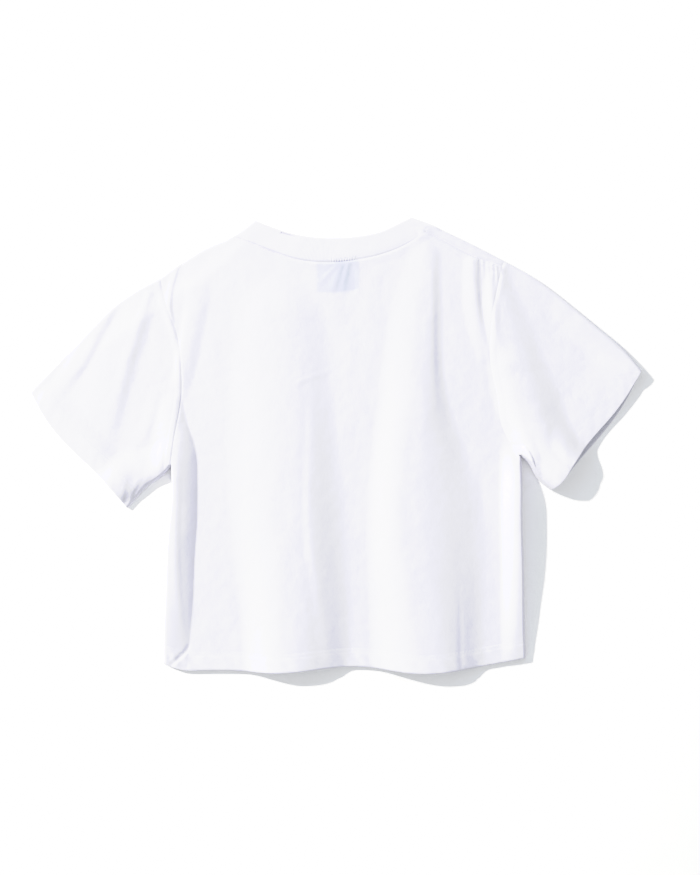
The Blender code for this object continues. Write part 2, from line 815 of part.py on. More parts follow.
def make_sleeves(seams, look, parent):
    """Both sleeves. Each is closed under the arm, along its folded underarm edge."""
    left = stood_back(seams["left armhole"], HALF_GAP)
    cuff = points(LEFT_CUFF)[::-1]
    make_sleeve(
        "sleeve_left",
        left,
        left,
        points(LEFT_UNDERARM),
        points(LEFT_SLEEVE_TOP),
        cuff,
        cuff,
        look,
        parent,
    )
    whole = stood_back(seams["right armhole"], -HALF_GAP)[::-1]
    back = stood_back(joined(seams["right armhole, back"], seams["right armhole, roll"]), -HALF_GAP)[::-1]
    make_sleeve(
        "sleeve_right",
        back,
        whole,
        points(RIGHT_SLEEVE_TOP),
        points(RIGHT_UNDERARM),
        points(RIGHT_CUFF),
        points(RIGHT_LOWER_CUFF),
        look,
        parent,
    )


def make_neckband(seams, look, parent):
    """The neckband: a folded strip of rib, its back half over its front half, folded at each shoulder."""
    seam_lines = (joined(seams["back neck"], seams["neck roll"]), seams["front neck"])
    v = np.linspace(0, 1, BAND_CELLS + 1)
    layers = []
    for line, edge in zip(seam_lines, (BACK_BAND_EDGE, FRONT_BAND_EDGE)):
        seam = stood_back(line, HALF_GAP)
        along = np.concatenate([[0], np.cumsum(np.linalg.norm(np.diff(seam, axis=0), axis=1))])
        free = evenly(points(edge), along / along[-1])
        layers.append(seam[None] * (1 - v[:, None, None]) + free[None] * v[:, None, None])
    edge_z = BAND_LOWER_Z + BAND_TURN
    folds = [layers[0][:, 0], layers[0][:, -1]]
    top = lifted(layers[0], lambda at: upper(at, edge_z))
    bottom = lifted(layers[1], lambda at: lower(at, edge_z, folds, BAND_LOWER_Z))
    bottom[:, [0, -1]] = top[:, [0, -1]]
    top[:, [0, -1], 2] = bottom[:, [0, -1], 2] = edge_z

    def half_rib(at):
        free_edges = [top[-1, :, :2], bottom[-1, :, :2]]
        full = smooth(distance_to(at[:, :2], free_edges) / RIB_EDGE_REACH)
        return RIB_WALL / 2 * (RIB_EDGE_SHARE + (1 - RIB_EDGE_SHARE) * full)

    cuts = ((seam_lines[0], top[0]), (seam_lines[1][1:-1], bottom[0, 1:-1]))
    solid("neckband", faces_of(top) + faces_of(bottom, True), look, parent, half_rib, half_rib, (), cuts)


def make_label(look, parent):
    """The bare label: a small tab that hangs inside the back from the neck seam."""
    u = np.linspace(0, 1, LABEL_CELLS + 1)
    neck = evenly(points(BACK_NECK), np.linspace(0, 1, EDGE_SAMPLES))
    x = LABEL_CENTRE_X + LABEL_WIDTH * (u - 0.5)
    top = np.column_stack([x, np.interp(x, neck[:, 0], neck[:, 1]) - LABEL_BELOW_SEAM])
    down = np.array([0, -LABEL_LENGTH])
    plan = np.stack([top + down * share for share in np.linspace(1, 0, LABEL_CELLS + 1)])
    under = WALL / 2 + SEAM_GAP + LABEL_WALL / 2
    sheet = lifted(plan, lambda at: upper(at, 0 * at[:, 0]) - under)

    def half_label(at):
        return np.full(len(at), LABEL_WALL / 2)

    solid("neck_label", faces_of(sheet), look, parent, half_label, half_label)


def clear_scene():
    for piece in list(bpy.data.objects):
        bpy.data.objects.remove(piece, do_unlink=True)


def main():
    clear_scene()
    garment = bpy.data.objects.new("garment", None)
    bpy.context.scene.collection.objects.link(garment)
    jersey = material("white jersey", WHITE_JERSEY, JERSEY_ROUGHNESS)
    rib = material("white rib", WHITE_RIB, JERSEY_ROUGHNESS)
    label = material("label cloth", LABEL_CLOTH, LABEL_ROUGHNESS)
    seams = make_seams()
    make_back(seams, jersey, garment)
    make_front(seams, jersey, garment)
    make_sleeves(seams, jersey, garment)
    make_neckband(seams, rib, garment)
    make_label(label, garment)


main()
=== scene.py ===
# %% [markdown]
# # A white cropped top, laid flat with its back up
#
# This lesson dresses a short-sleeved jersey top that lies on a table. The frame already holds its
# plain solids: the back, the front, two sleeves, the neckband and a bare label. Here each one gets
# a thin cloth shell of its own, with the seams, the turned-up hems, the stitches and the knit that
# a hand would feel.
#
# The first cell loads the frame's solids.

import math

import bpy
import numpy as np
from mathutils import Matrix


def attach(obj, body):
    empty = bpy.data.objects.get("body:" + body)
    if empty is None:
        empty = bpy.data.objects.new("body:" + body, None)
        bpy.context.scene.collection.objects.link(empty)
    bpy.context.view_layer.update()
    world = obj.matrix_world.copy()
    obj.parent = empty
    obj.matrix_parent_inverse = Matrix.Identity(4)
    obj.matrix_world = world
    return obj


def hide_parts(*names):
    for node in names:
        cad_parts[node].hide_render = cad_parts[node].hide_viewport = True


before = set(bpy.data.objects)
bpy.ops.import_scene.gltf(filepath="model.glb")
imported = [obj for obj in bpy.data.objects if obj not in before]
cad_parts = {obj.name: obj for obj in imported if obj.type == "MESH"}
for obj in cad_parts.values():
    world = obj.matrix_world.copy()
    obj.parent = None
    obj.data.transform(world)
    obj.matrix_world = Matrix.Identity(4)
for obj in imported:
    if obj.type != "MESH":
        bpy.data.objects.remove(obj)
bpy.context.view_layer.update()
print("solids:", sorted(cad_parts))

# %% [markdown]
# ## Table, camera and light
#
# A garment laid flat is shown from straight above, so the camera looks down its own -Z axis and
# needs no turning. A long lens from two metres up keeps the edges from leaning. One round lamp a
# few metres to the left throws the shadows. Unlike a sun it is at a real distance, so its light
# falls off towards the right, as it does in a studio, and its size sets how soft the shadows' edges
# are. A pale sky fills the shade. White cloth on a white table needs the plain view transform,
# because a filmic one would turn the whites grey.

# %% Camera
CAMERA_AT = (0.0147, 0.0079, 2.169)
LENS_MM = 85.0


def placed(name, data):
    """A new object in the scene."""
    made = bpy.data.objects.new(name, data)
    bpy.context.scene.collection.objects.link(made)
    return made


camera = placed("camera", bpy.data.cameras.new("camera"))
camera.data.lens = LENS_MM
camera.location = CAMERA_AT
bpy.context.scene.camera = camera
bpy.context.scene.view_settings.view_transform = "Standard"

# %% Lamp and sky
LAMP_WAY = (-25.0, 14.0, 19.5)  # the way from the cloth to the lamp
LAMP_DISTANCE = 5.5
LAMP_RADIUS = 0.075
LIGHT_ON_CLOTH = 3.6  # watts on each square metre that faces the lamp
LAMP_COLOUR = (1.0, 0.985, 0.95)
SKY_COLOUR = (0.93, 0.96, 1.0)
SKY_STRENGTH = 0.6

lamp = placed("lamp", bpy.data.lights.new("lamp", "POINT"))
lamp.data.energy = LIGHT_ON_CLOTH * 4 * math.pi * LAMP_DISTANCE**2
lamp.data.color = LAMP_COLOUR
lamp.data.shadow_soft_size = LAMP_RADIUS
way = np.array(LAMP_WAY) / np.linalg.norm(LAMP_WAY)
lamp.location = way * LAMP_DISTANCE

sky = bpy.data.worlds.new("pale room")
sky.use_nodes = True
glow = sky.node_tree.nodes["Background"].inputs
glow["Color"].default_value = (*SKY_COLOUR, 1.0)
glow["Strength"].default_value = SKY_STRENGTH
bpy.context.scene.world = sky
print("the light stands", round(math.degrees(math.asin(way[2]))), "degrees above the table")

# %% [markdown]
# A camera doesn't answer light in a straight line: its tone curve bends over near white, so that a
# slope that faces the lamp stays a tender white instead of burning out. The scene's own tone curve
# does the same here. It is a short table from the light that comes in to the light that is shown.

# %% The tone curve
BRIGHTEST = 1.6  # the light that the curve's right end stands for
TONES = (
    (0.0, 0.0), (0.51, 0.605), (0.58, 0.678), (0.64, 0.765), (0.69, 0.81), (0.76, 0.85),
    (0.85, 0.918), (0.93, 0.94), (1.0, 0.953), (1.08, 0.962), (1.11, 0.985), (1.126, 1.0),
)

view = bpy.context.scene.view_settings
view.use_curve_mapping = True
view.curve_mapping.white_level = (BRIGHTEST,) * 3
view.curve_mapping.extend = "HORIZONTAL"
tones = view.curve_mapping.curves[3].points
for _ in TONES[2:]:
    tones.new(0.5, 0.5)
for point, (seen, shown) in zip(tones, TONES):
    point.location = (seen / BRIGHTEST, shown)
    point.handle_type = "AUTO_CLAMPED"
view.curve_mapping.update()

# %% [markdown]
# ## Lines of the pattern
#
# A pattern maker draws a garment as a few curves: sides, armholes, shoulders, neck, hem and cuffs.
# Each is a short table here, in millimetres from the middle of the garment, and a natural cubic
# curve runs through its points. Sizes in millimetres are easier to read on cloth than metres, so
# only the last step scales them.

# %% Curves through short tables
MM = 0.001


def drawn(*rows):
    """A line's knots, each with x and y. A fold's also have its height and its two widths."""
    return np.array(rows, float)


CURVE_SAMPLES = 400


def spline(knots, at):
    """A natural cubic curve through the knots, read at shares of their chord length."""
    steps = np.linalg.norm(np.diff(knots[:, :2], axis=0), axis=1)
    along = np.concatenate([[0], np.cumsum(steps)]) / steps.sum()
    gaps = np.diff(along)
    count = len(knots)
    system = np.eye(count)
    slopes = np.zeros_like(knots)
    for i in range(1, count - 1):
        system[i, i - 1 : i + 2] = gaps[i - 1], 2 * (gaps[i - 1] + gaps[i]), gaps[i]
        ahead, behind = knots[i + 1] - knots[i], knots[i] - knots[i - 1]
        slopes[i] = 6 * (ahead / gaps[i] - behind / gaps[i - 1])
    bends = np.linalg.solve(system, slopes)
    at = np.clip(at, 0, 1)
    cell = np.clip(np.searchsorted(along, at, side="right") - 1, 0, count - 2)
    width = gaps[cell][:, None]
    after = (at - along[cell])[:, None]
    before = width - after
    cubic = (bends[cell] * before**3 + bends[cell + 1] * after**3) / (6 * width)
    straight = (knots[cell] / width - bends[cell] * width / 6) * before
    rest = (knots[cell + 1] / width - bends[cell + 1] * width / 6) * after
    return cubic + straight + rest


def run_of(line):
    """The distance from a line's start to each of its points."""
    return np.concatenate([[0], np.cumsum(np.linalg.norm(np.diff(line, axis=0), axis=1))])


def evenly(knots, shares):
    """The curve read at shares of its real length."""
    fine = np.linspace(0, 1, CURVE_SAMPLES)
    along = run_of(spline(knots, fine))
    return spline(knots, np.interp(shares, along / along[-1], fine))


def length_of(knots):
    return run_of(spline(knots, np.linspace(0, 1, CURVE_SAMPLES)))[-1]


def read_at(line, places):
    """A line's points at these distances from its start."""
    along = run_of(line)
    return np.stack([np.interp(places, along, part) for part in line.T], axis=1)


def read_shares(line, shares):
    """A line's points at these shares of its length."""
    return read_at(line, shares * run_of(line)[-1])


def y_at(line, x):
    """The y of a line that runs from left to right."""
    return np.interp(x, line[:, 0], line[:, 1])


def across(line):
    """The unit vector to the left of a line at each of its points, in plan."""
    run = np.gradient(line[:, :2], axis=0)
    run /= np.linalg.norm(run, axis=1)[:, None]
    return np.stack([-run[:, 1], run[:, 0]], axis=1)


def smooth(share):
    """A soft step: 0 below a share of 0, 1 above a share of 1."""
    share = np.clip(share, 0, 1)
    return share * share * (3 - 2 * share)


def bell(distance, width):
    """A soft bump: 1 at no distance, and nearly 0 from twice its width on."""
    return np.exp(-((distance / width) ** 2))


def quarter_round(share):
    """How far up a quarter circle stands at a share of its width."""
    return np.sqrt(1 - (1 - np.clip(share, 0, 1)) ** 2)


def joined(*lines):
    """Lines end to end, with each shared point kept once."""
    return np.concatenate([lines[0]] + [line[1:] for line in lines[1:]])


# %% The outline
# The sides of the body, from the hem corner up to the armpit.
LEFT_SIDE = drawn((-181, -229), (-181, -205), (-179, -152), (-176, -89), (-172, -45), (-173, -23))
RIGHT_SIDE = drawn(
    (199, -223), (198, -197), (197, -142), (196, -107), (195, -71), (195, -39), (194, -12),
)

# The armhole seams, from the armpit up to the shoulder. The right one ends on the folded edge.
LEFT_ARMHOLE = drawn(
    (-173, -23), (-168, 14), (-162, 52), (-162, 79), (-167, 117), (-177, 144), (-184, 175),
)
RIGHT_ARMHOLE = drawn(
    (194, -12), (182, 4), (174, 20), (169, 49), (162, 85), (162, 121), (165, 146), (170, 169),
    (174, 187), (176, 193),
)

# The shoulders, from the neck out to the sleeve.
LEFT_SHOULDER = drawn((-107, 218), (-138, 205), (-159, 192), (-184, 175))
RIGHT_SHOULDER_EDGE = drawn((103, 229), (139, 212), (176, 193))
RIGHT_SHOULDER_SEAM = drawn((93, 224), (115, 213), (146, 197), (174.3, 187.6))

# The neck seam and the free edge of the neckband, each from the wearer's left to right.
BACK_NECK = drawn(
    (-107, 218), (-90, 212), (-64, 202), (-38, 194), (-6, 191.5), (20, 194), (51, 201), (78, 213),
    (93, 224),
)
FRONT_NECK = drawn(
    (-107, 218), (-105, 185), (-88, 152), (-52, 129), (-4, 122), (46, 128), (84, 150), (102, 185),
    (103, 229),
)
BACK_BAND_EDGE = drawn(
    (-85, 235), (-59, 225), (-38, 219.5), (-6, 216.5), (25, 218.5), (46, 223), (66, 232),
    (78, 238),
)
FRONT_BAND_EDGE = drawn(
    (-85, 235), (-82, 192), (-69, 167), (-42, 150), (-4, 144), (38, 149), (66, 165), (79, 192),
    (78, 238),
)

# The sleeves: the folded upper edge and the folded underarm, both from the body out, and the cuffs.
LEFT_SLEEVE_TOP = drawn((-184, 175), (-227, 149), (-269, 109), (-306, 70), (-320, 56))
LEFT_UNDERARM = drawn((-173, -23), (-182, -32), (-195, -41), (-207, -52.5), (-219, -66))
LEFT_CUFF = drawn((-320, 56), (-300, 22), (-274, -7), (-243, -37), (-219, -66))
RIGHT_SLEEVE_TOP = drawn((176, 193), (208, 175), (238, 153), (272, 125), (304, 97), (320, 78))
RIGHT_UNDERARM = drawn((194, -12), (202, -19), (210, -33), (225, -47))
RIGHT_CUFF = drawn((320, 78), (296, 39), (266, 4), (244, -26), (233, -41), (225, -47))
RIGHT_LOWER_CUFF = drawn((320, 78), (299, 38), (271, 2), (246, -28), (233.5, -42), (225, -47))

# The hem of the back, and the straighter hem of the front under it.
BACK_HEM = drawn(
    (-181, -229), (-165, -234), (-120, -236), (-60, -238), (-10, -233.5), (30, -232.5),
    (85, -238.5), (140, -234), (199, -223),
)
FRONT_HEM = drawn((-181, -229), (-120, -234), (0, -231), (110, -234), (199, -223))
print("the hem is", round(length_of(BACK_HEM)), "mm wide as it lies")

# %% [markdown]
# ## The lie of the cloth
#
# Nobody lays a shirt perfectly flat: the back stands up in slow waves, one side is tucked in, and
# the sleeves keep a drag fold from the shoulder. All of that is one height over the table for each
# place in plan. A fold is a line with a height and a width to each side, and heights add up. Along
# every folded edge the cloth turns down to the table in a quarter ellipse. Writing folds down as
# listed lines keeps them where they belong, which a simulation would not.

# %% The large folds
FOLDS = {
    "left wave": drawn(
        (-52, -240, 14.3, 46, 68), (-50, -150, 10.5, 54, 68), (-54, -50, 7.5, 62, 64),
        (-60, 130, 2.5, 50, 50),
    ),
    "right wave": drawn(
        (98, -240, 13.8, 63, 60), (82, -140, 11, 50, 78), (75, -40, 9, 42, 78),
        (86, 60, 6, 42, 32), (92, 140, 2.9, 38, 20), (97, 195, 1.2, 25, 14),
    ),
    "right side": drawn(
        (193, -225, 1.2, 22, 22), (193, -188, 6.5, 21, 22), (193, -156, 10, 21, 22),
        (193, -108, 15, 21, 22), (192, -66, 16.3, 21, 22), (192, -40, 14, 21, 24),
        (191, -18, 7, 20, 24), (190, 0, 0.8, 18, 20),
    ),
    "left drag": drawn((-166, 50, 0.3, 12, 12), (-158, 100, 1.7, 10, 18), (-146, 162, 0.6, 14, 16)),
    "right drag": drawn((156, 92, 0.4, 10, 8), (146, 145, 1.4, 14, 8), (144, 190, 1.2, 12, 8)),
    "left shoulder": drawn(
        (-318, 58, -0.8, 20, 20), (-255, 122, -1.8, 26, 26), (-184, 175, -2.2, 28, 28),
        (-125, 210, -1.5, 22, 22), (-104, 220, -0.5, 14, 14),
    ),
    "left sleeve crest": drawn(
        (-250, 6, 0.5, 30, 26), (-236, 58, 2, 42, 24), (-219, 110, 2, 40, 22),
        (-203, 150, 1.3, 26, 18), (-194, 172, 0.4, 14, 12),
    ),
    "left sleeve side": drawn(
        (-286, 64, 0.6, 14, 13), (-264, 101, 2.2, 14, 15), (-236, 150, 0.6, 12, 12),
    ),
    "left cuff": drawn((-240, -30, 2.6, 34, 30), (-270, -2, 2.6, 34, 30), (-300, 34, 2, 30, 30)),
    "left underarm": drawn(
        (-236, -52, 5, 30, 17), (-221, -44, 5.2, 34, 16), (-206, -33, 4.6, 34, 16),
        (-192, -22, 3, 28, 15), (-180, -6, 0.8, 14, 12),
    ),
    "right sleeve crest": drawn(
        (204, 20, 0.4, 30, 30), (197, 42, 1.4, 34, 40), (188, 72, 3, 30, 38),
        (176, 112, 3.3, 24, 36), (169, 150, 2.6, 18, 26), (166, 184, 0.8, 10, 14),
    ),
    "right underarm": drawn(
        (248, -47, 18.5, 20, 50), (236, -37, 19, 22, 50), (224, -24, 17.6, 23, 46),
        (211, -6, 14.4, 24, 46), (201, 15, 10.4, 24, 46), (193, 40, 6, 26, 46),
        (186, 74, 1.6, 24, 40),
    ),
    "right cuff top": drawn((321, 76, 3.6, 18, 22), (290, 98, 3, 22, 26), (245, 138, 1, 22, 24)),
    "right cuff": drawn(
        (247, -25, 1, 30, 20), (254, -16, 4.5, 40, 20), (262, -6, 3.6, 50, 22),
        (272, 8, 1.5, 55, 24), (288, 29, 1.2, 56, 28), (308, 58, 2.6, 56, 30),
    ),
}
# A tuck is steepest on its line, climbs to the left of it, and comes down again beyond its crest.
TUCKS = {
    "left tuck": drawn(
        (-156, -240, 0.6, 48, 1), (-155, -222, 2, 48, 1), (-152.5, -195, 4.4, 52, 1),
        (-149.6, -163, 6, 55, 1), (-148.1, -121, 7, 57, 1), (-145.4, -79, 7.3, 58, 1),
        (-145, -40, 7.3, 58, 1), (-146, -12, 6.8, 56, 1), (-150, 6, 5.8, 50, 1),
        (-156.5, 24, 3.8, 40, 1), (-162, 56, 0.2, 22, 1),
    ),
}
TUCK_CREST = 0.42
print(len(FOLDS), "large folds")

# %% [markdown]
# The small creases are what makes it cloth: puckers where the shoulder seam meets the sleeve, a
# tuck at each armpit, pulls from the label, a pressed line near the hem. They are far shallower
# than the large folds, so a table of their own keeps them apart.

# %% The small creases
CREASES = {
    "neck fold": drawn(
        (104, 40, 0.1, 8, 6), (102, 90, 0.3, 8, 4.5), (102, 140, 0.35, 6, 4),
        (101.5, 182, 0.2, 6, 4),
    ),
    "shoulder pull": drawn((156, 96, 0.2, 9, 7), (147, 150, 0.5, 9, 6), (143.5, 192, 0.5, 6, 4)),
    "sleeve side pull": drawn((168, 110, 0.3, 7, 7), (163, 150, 0.7, 6, 7), (161, 176, 0.5, 4, 5)),
    "pucker 1": drawn((148, 180, 0.3, 1.7, 1.7), (147.5, 196, 0.5, 1.7, 1.7)),
    "pucker 2": drawn((154.5, 177, 0.35, 1.6, 1.6), (153.5, 193, 0.6, 1.6, 1.6)),
    "pucker 3": drawn((160, 174, 0.4, 1.5, 1.5), (159, 191, 0.65, 1.5, 1.5)),
    "pucker 4": drawn((164.5, 174, 0.4, 1.5, 1.5), (163.5, 189, 0.65, 1.5, 1.5)),
    "pucker 5": drawn((169, 174, 0.4, 1.4, 1.4), (168, 187, 0.6, 1.4, 1.4)),
    "pucker 6": drawn((173, 176, 0.3, 1.4, 1.4), (172.5, 185, 0.45, 1.4, 1.4)),
    "hem crease": drawn(
        (131, -236, -0.6, 5, 3.5), (130, -190, -0.4, 4, 3), (129, -145, -0.1, 3, 3),
    ),
    "back mark": drawn((-41, 64.5, 0.35, 2.5, 2.5), (-25, 71, 0.5, 3, 2.5), (-9, 77, 0.3, 3, 3)),
    "label pull 1": drawn((-17, 170, 0.2, 3, 3), (-8, 179, 0.4, 3, 3), (1, 188, 0.3, 2.5, 3)),
    "label pull 2": drawn((-4, 162, 0.2, 6, 5), (1, 176, 0.5, 6, 5), (6, 188, 0.4, 3, 3)),
    "label pull 3": drawn((7.5, 162, 0.2, 4, 4), (9.5, 176, 0.5, 4, 4), (13, 190, 0.6, 2.5, 2.5)),
    "label edge": drawn((23, 160, 0.3, 2.5, 2), (23.5, 176, 0.4, 2.5, 2), (21, 190, 0.3, 2, 2)),
    "label seam": drawn(
        (-19, 192.2, -0.1, 1.4, 1.4), (-10, 191.9, -0.35, 1.4, 1.4), (14, 192.9, -0.35, 1.4, 1.4),
        (21, 194.2, -0.1, 1.4, 1.4),
    ),
    "left shoulder crease": drawn(
        (-167, 112, 0.1, 6, 4), (-174.5, 145, 0.9, 7, 4), (-172.5, 165, 0.9, 7, 4),
        (-166, 188, 0.3, 5, 4),
    ),
    "left armpit": drawn((-182, 2, 0.1, 4, 3), (-182.5, -9, 0.3, 5, 5), (-183, -24, 0.5, 6, 7)),
    "left cuff corner 1": drawn(
        (-224, -60, 0.3, 3, 3), (-222, -48, 0.4, 4, 3), (-219, -36, 0.1, 4, 4),
    ),
    "left cuff corner 2": drawn(
        (-217, -60, 0.4, 3, 2.5), (-213, -50, 0.5, 4, 3), (-205, -36, 0.1, 5, 4),
    ),
    "left cuff corner 3": drawn(
        (-209, -52, 0.5, 3, 2.5), (-203, -44, 0.6, 4, 3), (-196, -34, 0.1, 5, 4),
    ),
    "right armpit": drawn((207, -30, 1.2, 4, 3), (203, -14, 2.0, 5, 3), (197, -3, 0.8, 4, 3)),
    "right armpit tuck": drawn(
        (205, -30, -1.0, 3, 3), (200, -18, -1.6, 3, 3), (195, -8, -0.5, 3, 3),
    ),
    "tuck fold": drawn(
        (-160, -200, 0.1, 7, 5), (-164, -165, 0.4, 8, 6), (-167, -120, 0.6, 8, 6),
        (-166.5, -50, 0.6, 8, 7), (-166, 0, 0.1, 8, 7),
    ),
    "tuck foot": drawn(
        (-172, -230, -0.5, 4, 3), (-164, -223, -1, 5, 3), (-157, -216, -0.9, 5, 3),
        (-153, -208, -0.2, 4, 3),
    ),
    "left wave step": drawn(
        (-24, 75, 0.2, 26, 9), (-25, 0, 0.8, 28, 10), (-24, -110, 1.0, 28, 10),
        (-14, -170, 0.8, 26, 12), (-5, -238, 0.8, 24, 13),
    ),
    "left sleeve fold 1": drawn(
        (-272, 75, 0.2, 12, 8), (-255, 105, 0.4, 12, 8), (-233, 144, 0.2, 8, 7),
    ),
    "left sleeve fold 2": drawn(
        (-212, -8, 0.2, 12, 8), (-196, 22, 0.55, 12, 8), (-189, 56, 0.2, 10, 8),
    ),
    "left sleeve crease": drawn(
        (-236, 10, 0.2, 10, 8), (-222, 70, 0.5, 12, 9), (-196, 158, 0.5, 6, 5),
    ),
    "band edge line": drawn(
        (-57, 222.4, -1.0, 1.2, 1.2), (-48, 219.6, -1.7, 1.3, 1.3), (-39, 217, -0.8, 1.2, 1.2),
    ),
    "band corner line": drawn(
        (84, 226, -0.2, 1.2, 1.2), (90, 231, -0.3, 1.3, 1.2), (98, 231, -0.3, 1.2, 1.2),
    ),
}
print(len(CREASES), "small creases")

# %% Heights from folds
FOLD_POWER = 1.4
TUCK_POWER = 2
CREASE_POWER = 1
FOLD_SAMPLES = 48
EDGE_SAMPLES = 60
SMALLEST = 1e-9


def fold_lines(folds):
    """Each fold as a dense line of x, y, height, left width and right width."""
    shares = np.linspace(0, 1, FOLD_SAMPLES)
    return [spline(knots, shares) for knots in folds.values()]


def nearest(at, line):
    """For each point, its distance to a line, its side and its place along it from 0 to 1.

    The side is 1 to the left and -1 to the right. Past the line's ends it runs evenly from one to
    the other.
    """
    start = line[:-1, :2]
    run = line[1:, :2] - start
    offset = at[:, None] - start[None]
    share = np.clip((offset * run).sum(-1) / (run**2).sum(-1), 0, 1)
    gap = offset - share[..., None] * run
    distance = np.linalg.norm(gap, axis=-1)
    index = distance.argmin(axis=1)
    every = np.arange(len(at))
    turned = run[index, 0] * gap[every, index, 1] - run[index, 1] * gap[every, index, 0]
    place = (index + share[every, index]) / len(run)
    reach = distance[every, index] * np.linalg.norm(run[index], axis=1)
    return distance[every, index], turned / np.maximum(reach, SMALLEST), place


def near_box(at, line, reach):
    """Which points lie within reach of a line's box. It saves measuring those that don't."""
    low = line[:, :2].min(axis=0) - reach
    high = line[:, :2].max(axis=0) + reach
    return ((at > low) & (at < high)).all(axis=1)


def beside_fold(at, line):
    """A fold's height at the nearest place along it, the side, and the distance in widths."""
    distance, side, place = nearest(at, line)
    index = place * (len(line) - 1)
    every = np.arange(len(line))
    height, left, right = (np.interp(index, every, line[:, k]) for k in (2, 3, 4))
    width = (left * (1 + side) + right * (1 - side)) / 2
    return height, side, np.clip(distance / width, 0, 1)


def round_form(side, share, power):
    """A swell that is round on both sides of its line."""
    return np.cos(math.pi / 2 * share**power) ** 2


def tuck_form(side, share, power):
    """A bank to the left of its line: steepest there, level at its crest, and round beyond it."""
    climb = 1 - (1 - np.minimum(share / TUCK_CREST, 1)) ** power
    fall = np.maximum(share - TUCK_CREST, 0) / (1 - TUCK_CREST)
    return np.maximum(side, 0) * climb * np.cos(math.pi / 2 * fall) ** 2


def fold_height(at, lines, power, form=round_form):
    """The height that the folds add at plan points."""
    total = np.zeros(len(at))
    for line in lines:
        inside = near_box(at, line, line[:, 3:5].max())
        if inside.any():
            height, side, share = beside_fold(at[inside], line)
            total[inside] += height * form(side, share, power)
    return total


LARGE_LINES = fold_lines(FOLDS)
TUCK_LINES = fold_lines(TUCKS)
SMALL_LINES = fold_lines(CREASES)
sample = fold_height(np.array([[-50.0, -230.0]]), LARGE_LINES, FOLD_POWER)[0]
print("the left wave stands", round(sample, 1), "mm over the base at the hem")

# %% [markdown]
# Between its folds, jersey is never quite level: it keeps a faint quilted unevenness from being
# washed and handled. Smooth random heights on a coarse lattice give that. The random numbers come
# from a fixed seed, so that every run lays the same cloth.

# %% Faint unevenness
LATTICE = 96
LATTICE_HALF = 400.0
LONGER = 0.55  # how much a step along the body counts in the coarse ripples
COARSE, MEDIUM, FINE = (0.22, 19, 3), (0.09, 8.5, 4), (0.03, 3.6, 5)  # height, cell size and seed


def ripples(at, cell_size, seed):
    """Smooth random heights from -1 to 1 at plan points, with a lattice of this cell size."""
    lattice = np.random.default_rng(seed).uniform(-1, 1, (LATTICE, LATTICE))
    place = (at + LATTICE_HALF) / cell_size
    cell = np.floor(place).astype(int)
    u, v = smooth(place - cell).T
    a, b = (cell % LATTICE).T
    c, d = (a + 1) % LATTICE, (b + 1) % LATTICE
    below = lattice[a, b] * (1 - u) + lattice[c, b] * u
    above = lattice[a, d] * (1 - u) + lattice[c, d] * u
    return below * (1 - v) + above * v


def unevenness(at):
    """Faint unevenness, longer along the body than across it."""
    layers = ((at * np.array([1.0, LONGER]), COARSE), (at, MEDIUM), (at, FINE))
    return sum(height * ripples(place, cell, seed) for place, (height, cell, seed) in layers)


places = np.random.default_rng(0).uniform(-200, 200, (999, 2))
print("unevenness reaches", round(float(np.abs(unevenness(places)).max()), 2), "mm")

# %% [markdown]
# ## From lines to a surface
#
# The upper layer is the base height, the folds and creases, and what the sewing does to the cloth:
# each seam sinks between two swells, and the turned-up hem stands a little proud with a groove
# under each row of stitches. The lower layer is flat on the table and curls up only at its edges,
# to meet the upper one.

# %% Wall sizes
WALL = 0.8  # jersey
TURN_UP = 18.0  # how wide the hem and cuffs are turned up
TURN_UP_WALL = 1.4
RIB_WALL = 1.7
SOLID_WALL = 1.2  # the frame's walls
SOLID_UPPER_Z = 5.0  # the middle of its upper walls where no fold lifts them
UPPER_Z = SOLID_UPPER_Z + (SOLID_WALL - WALL) / 2
LOWER_Z = WALL / 2
EDGE_Z = 1.35  # where the back and the front meet at the sides
SLEEVE_EDGE_Z = 2.6
BAND_EDGE_Z = 2.9
RIB_DEPTH = 0.09
BAND_LOWER_Z = RIB_WALL / 2 + RIB_DEPTH
LEAST_CLEARANCE = 0.5  # between the two layers
NECK_RISE = 3.6
NECK_RISE_REACH = 12.0
TURN_EXTRA = 0.5  # a folded edge turns down over its height and this much more, between two limits
TURN_LEAST = 1.0
TURN_MOST = 3.2


# %% Edges and seams
HEM_SAMPLES = 120


def dense(knots, samples=EDGE_SAMPLES):
    """A curve as an even line."""
    return evenly(knots, np.linspace(0, 1, samples))


NECK_LINE = dense(BACK_NECK)
ARMHOLES = [dense(LEFT_ARMHOLE), dense(RIGHT_ARMHOLE)]
HEM = dense(BACK_HEM, HEM_SAMPLES)
FOLDED_EDGES = [
    np.concatenate([BACK_BAND_EDGE[[0]], dense(LEFT_SHOULDER), dense(LEFT_SLEEVE_TOP)[1:]]),
    np.concatenate([BACK_BAND_EDGE[[-1]], dense(RIGHT_SHOULDER_EDGE), dense(RIGHT_SLEEVE_TOP)[1:]]),
    np.concatenate([dense(LEFT_SIDE), dense(LEFT_UNDERARM)[1:]]),
    np.concatenate([dense(RIGHT_SIDE), dense(RIGHT_UNDERARM)[1:]]),
]
# Each seam, the side on which its allowances lie under the cloth (1 to the left of its line, -1 to
# the right), how high they lift it, and how deep it sinks at even steps from its start to its end.
SEAMS = (
    (ARMHOLES[0], 1, 0.4, (0.1, 0.3, 0.1)),
    (ARMHOLES[1], -1, 0.3, (0.25, 0.15, 0.3)),
    (dense(RIGHT_SHOULDER_SEAM), -1, 0.5, (0.7, 0.9, 0.8)),
    (NECK_LINE, -1, 0.0, (0.8, 1.9, 1.5, 1.1, 0.8, 0.55, 0.1)),
)
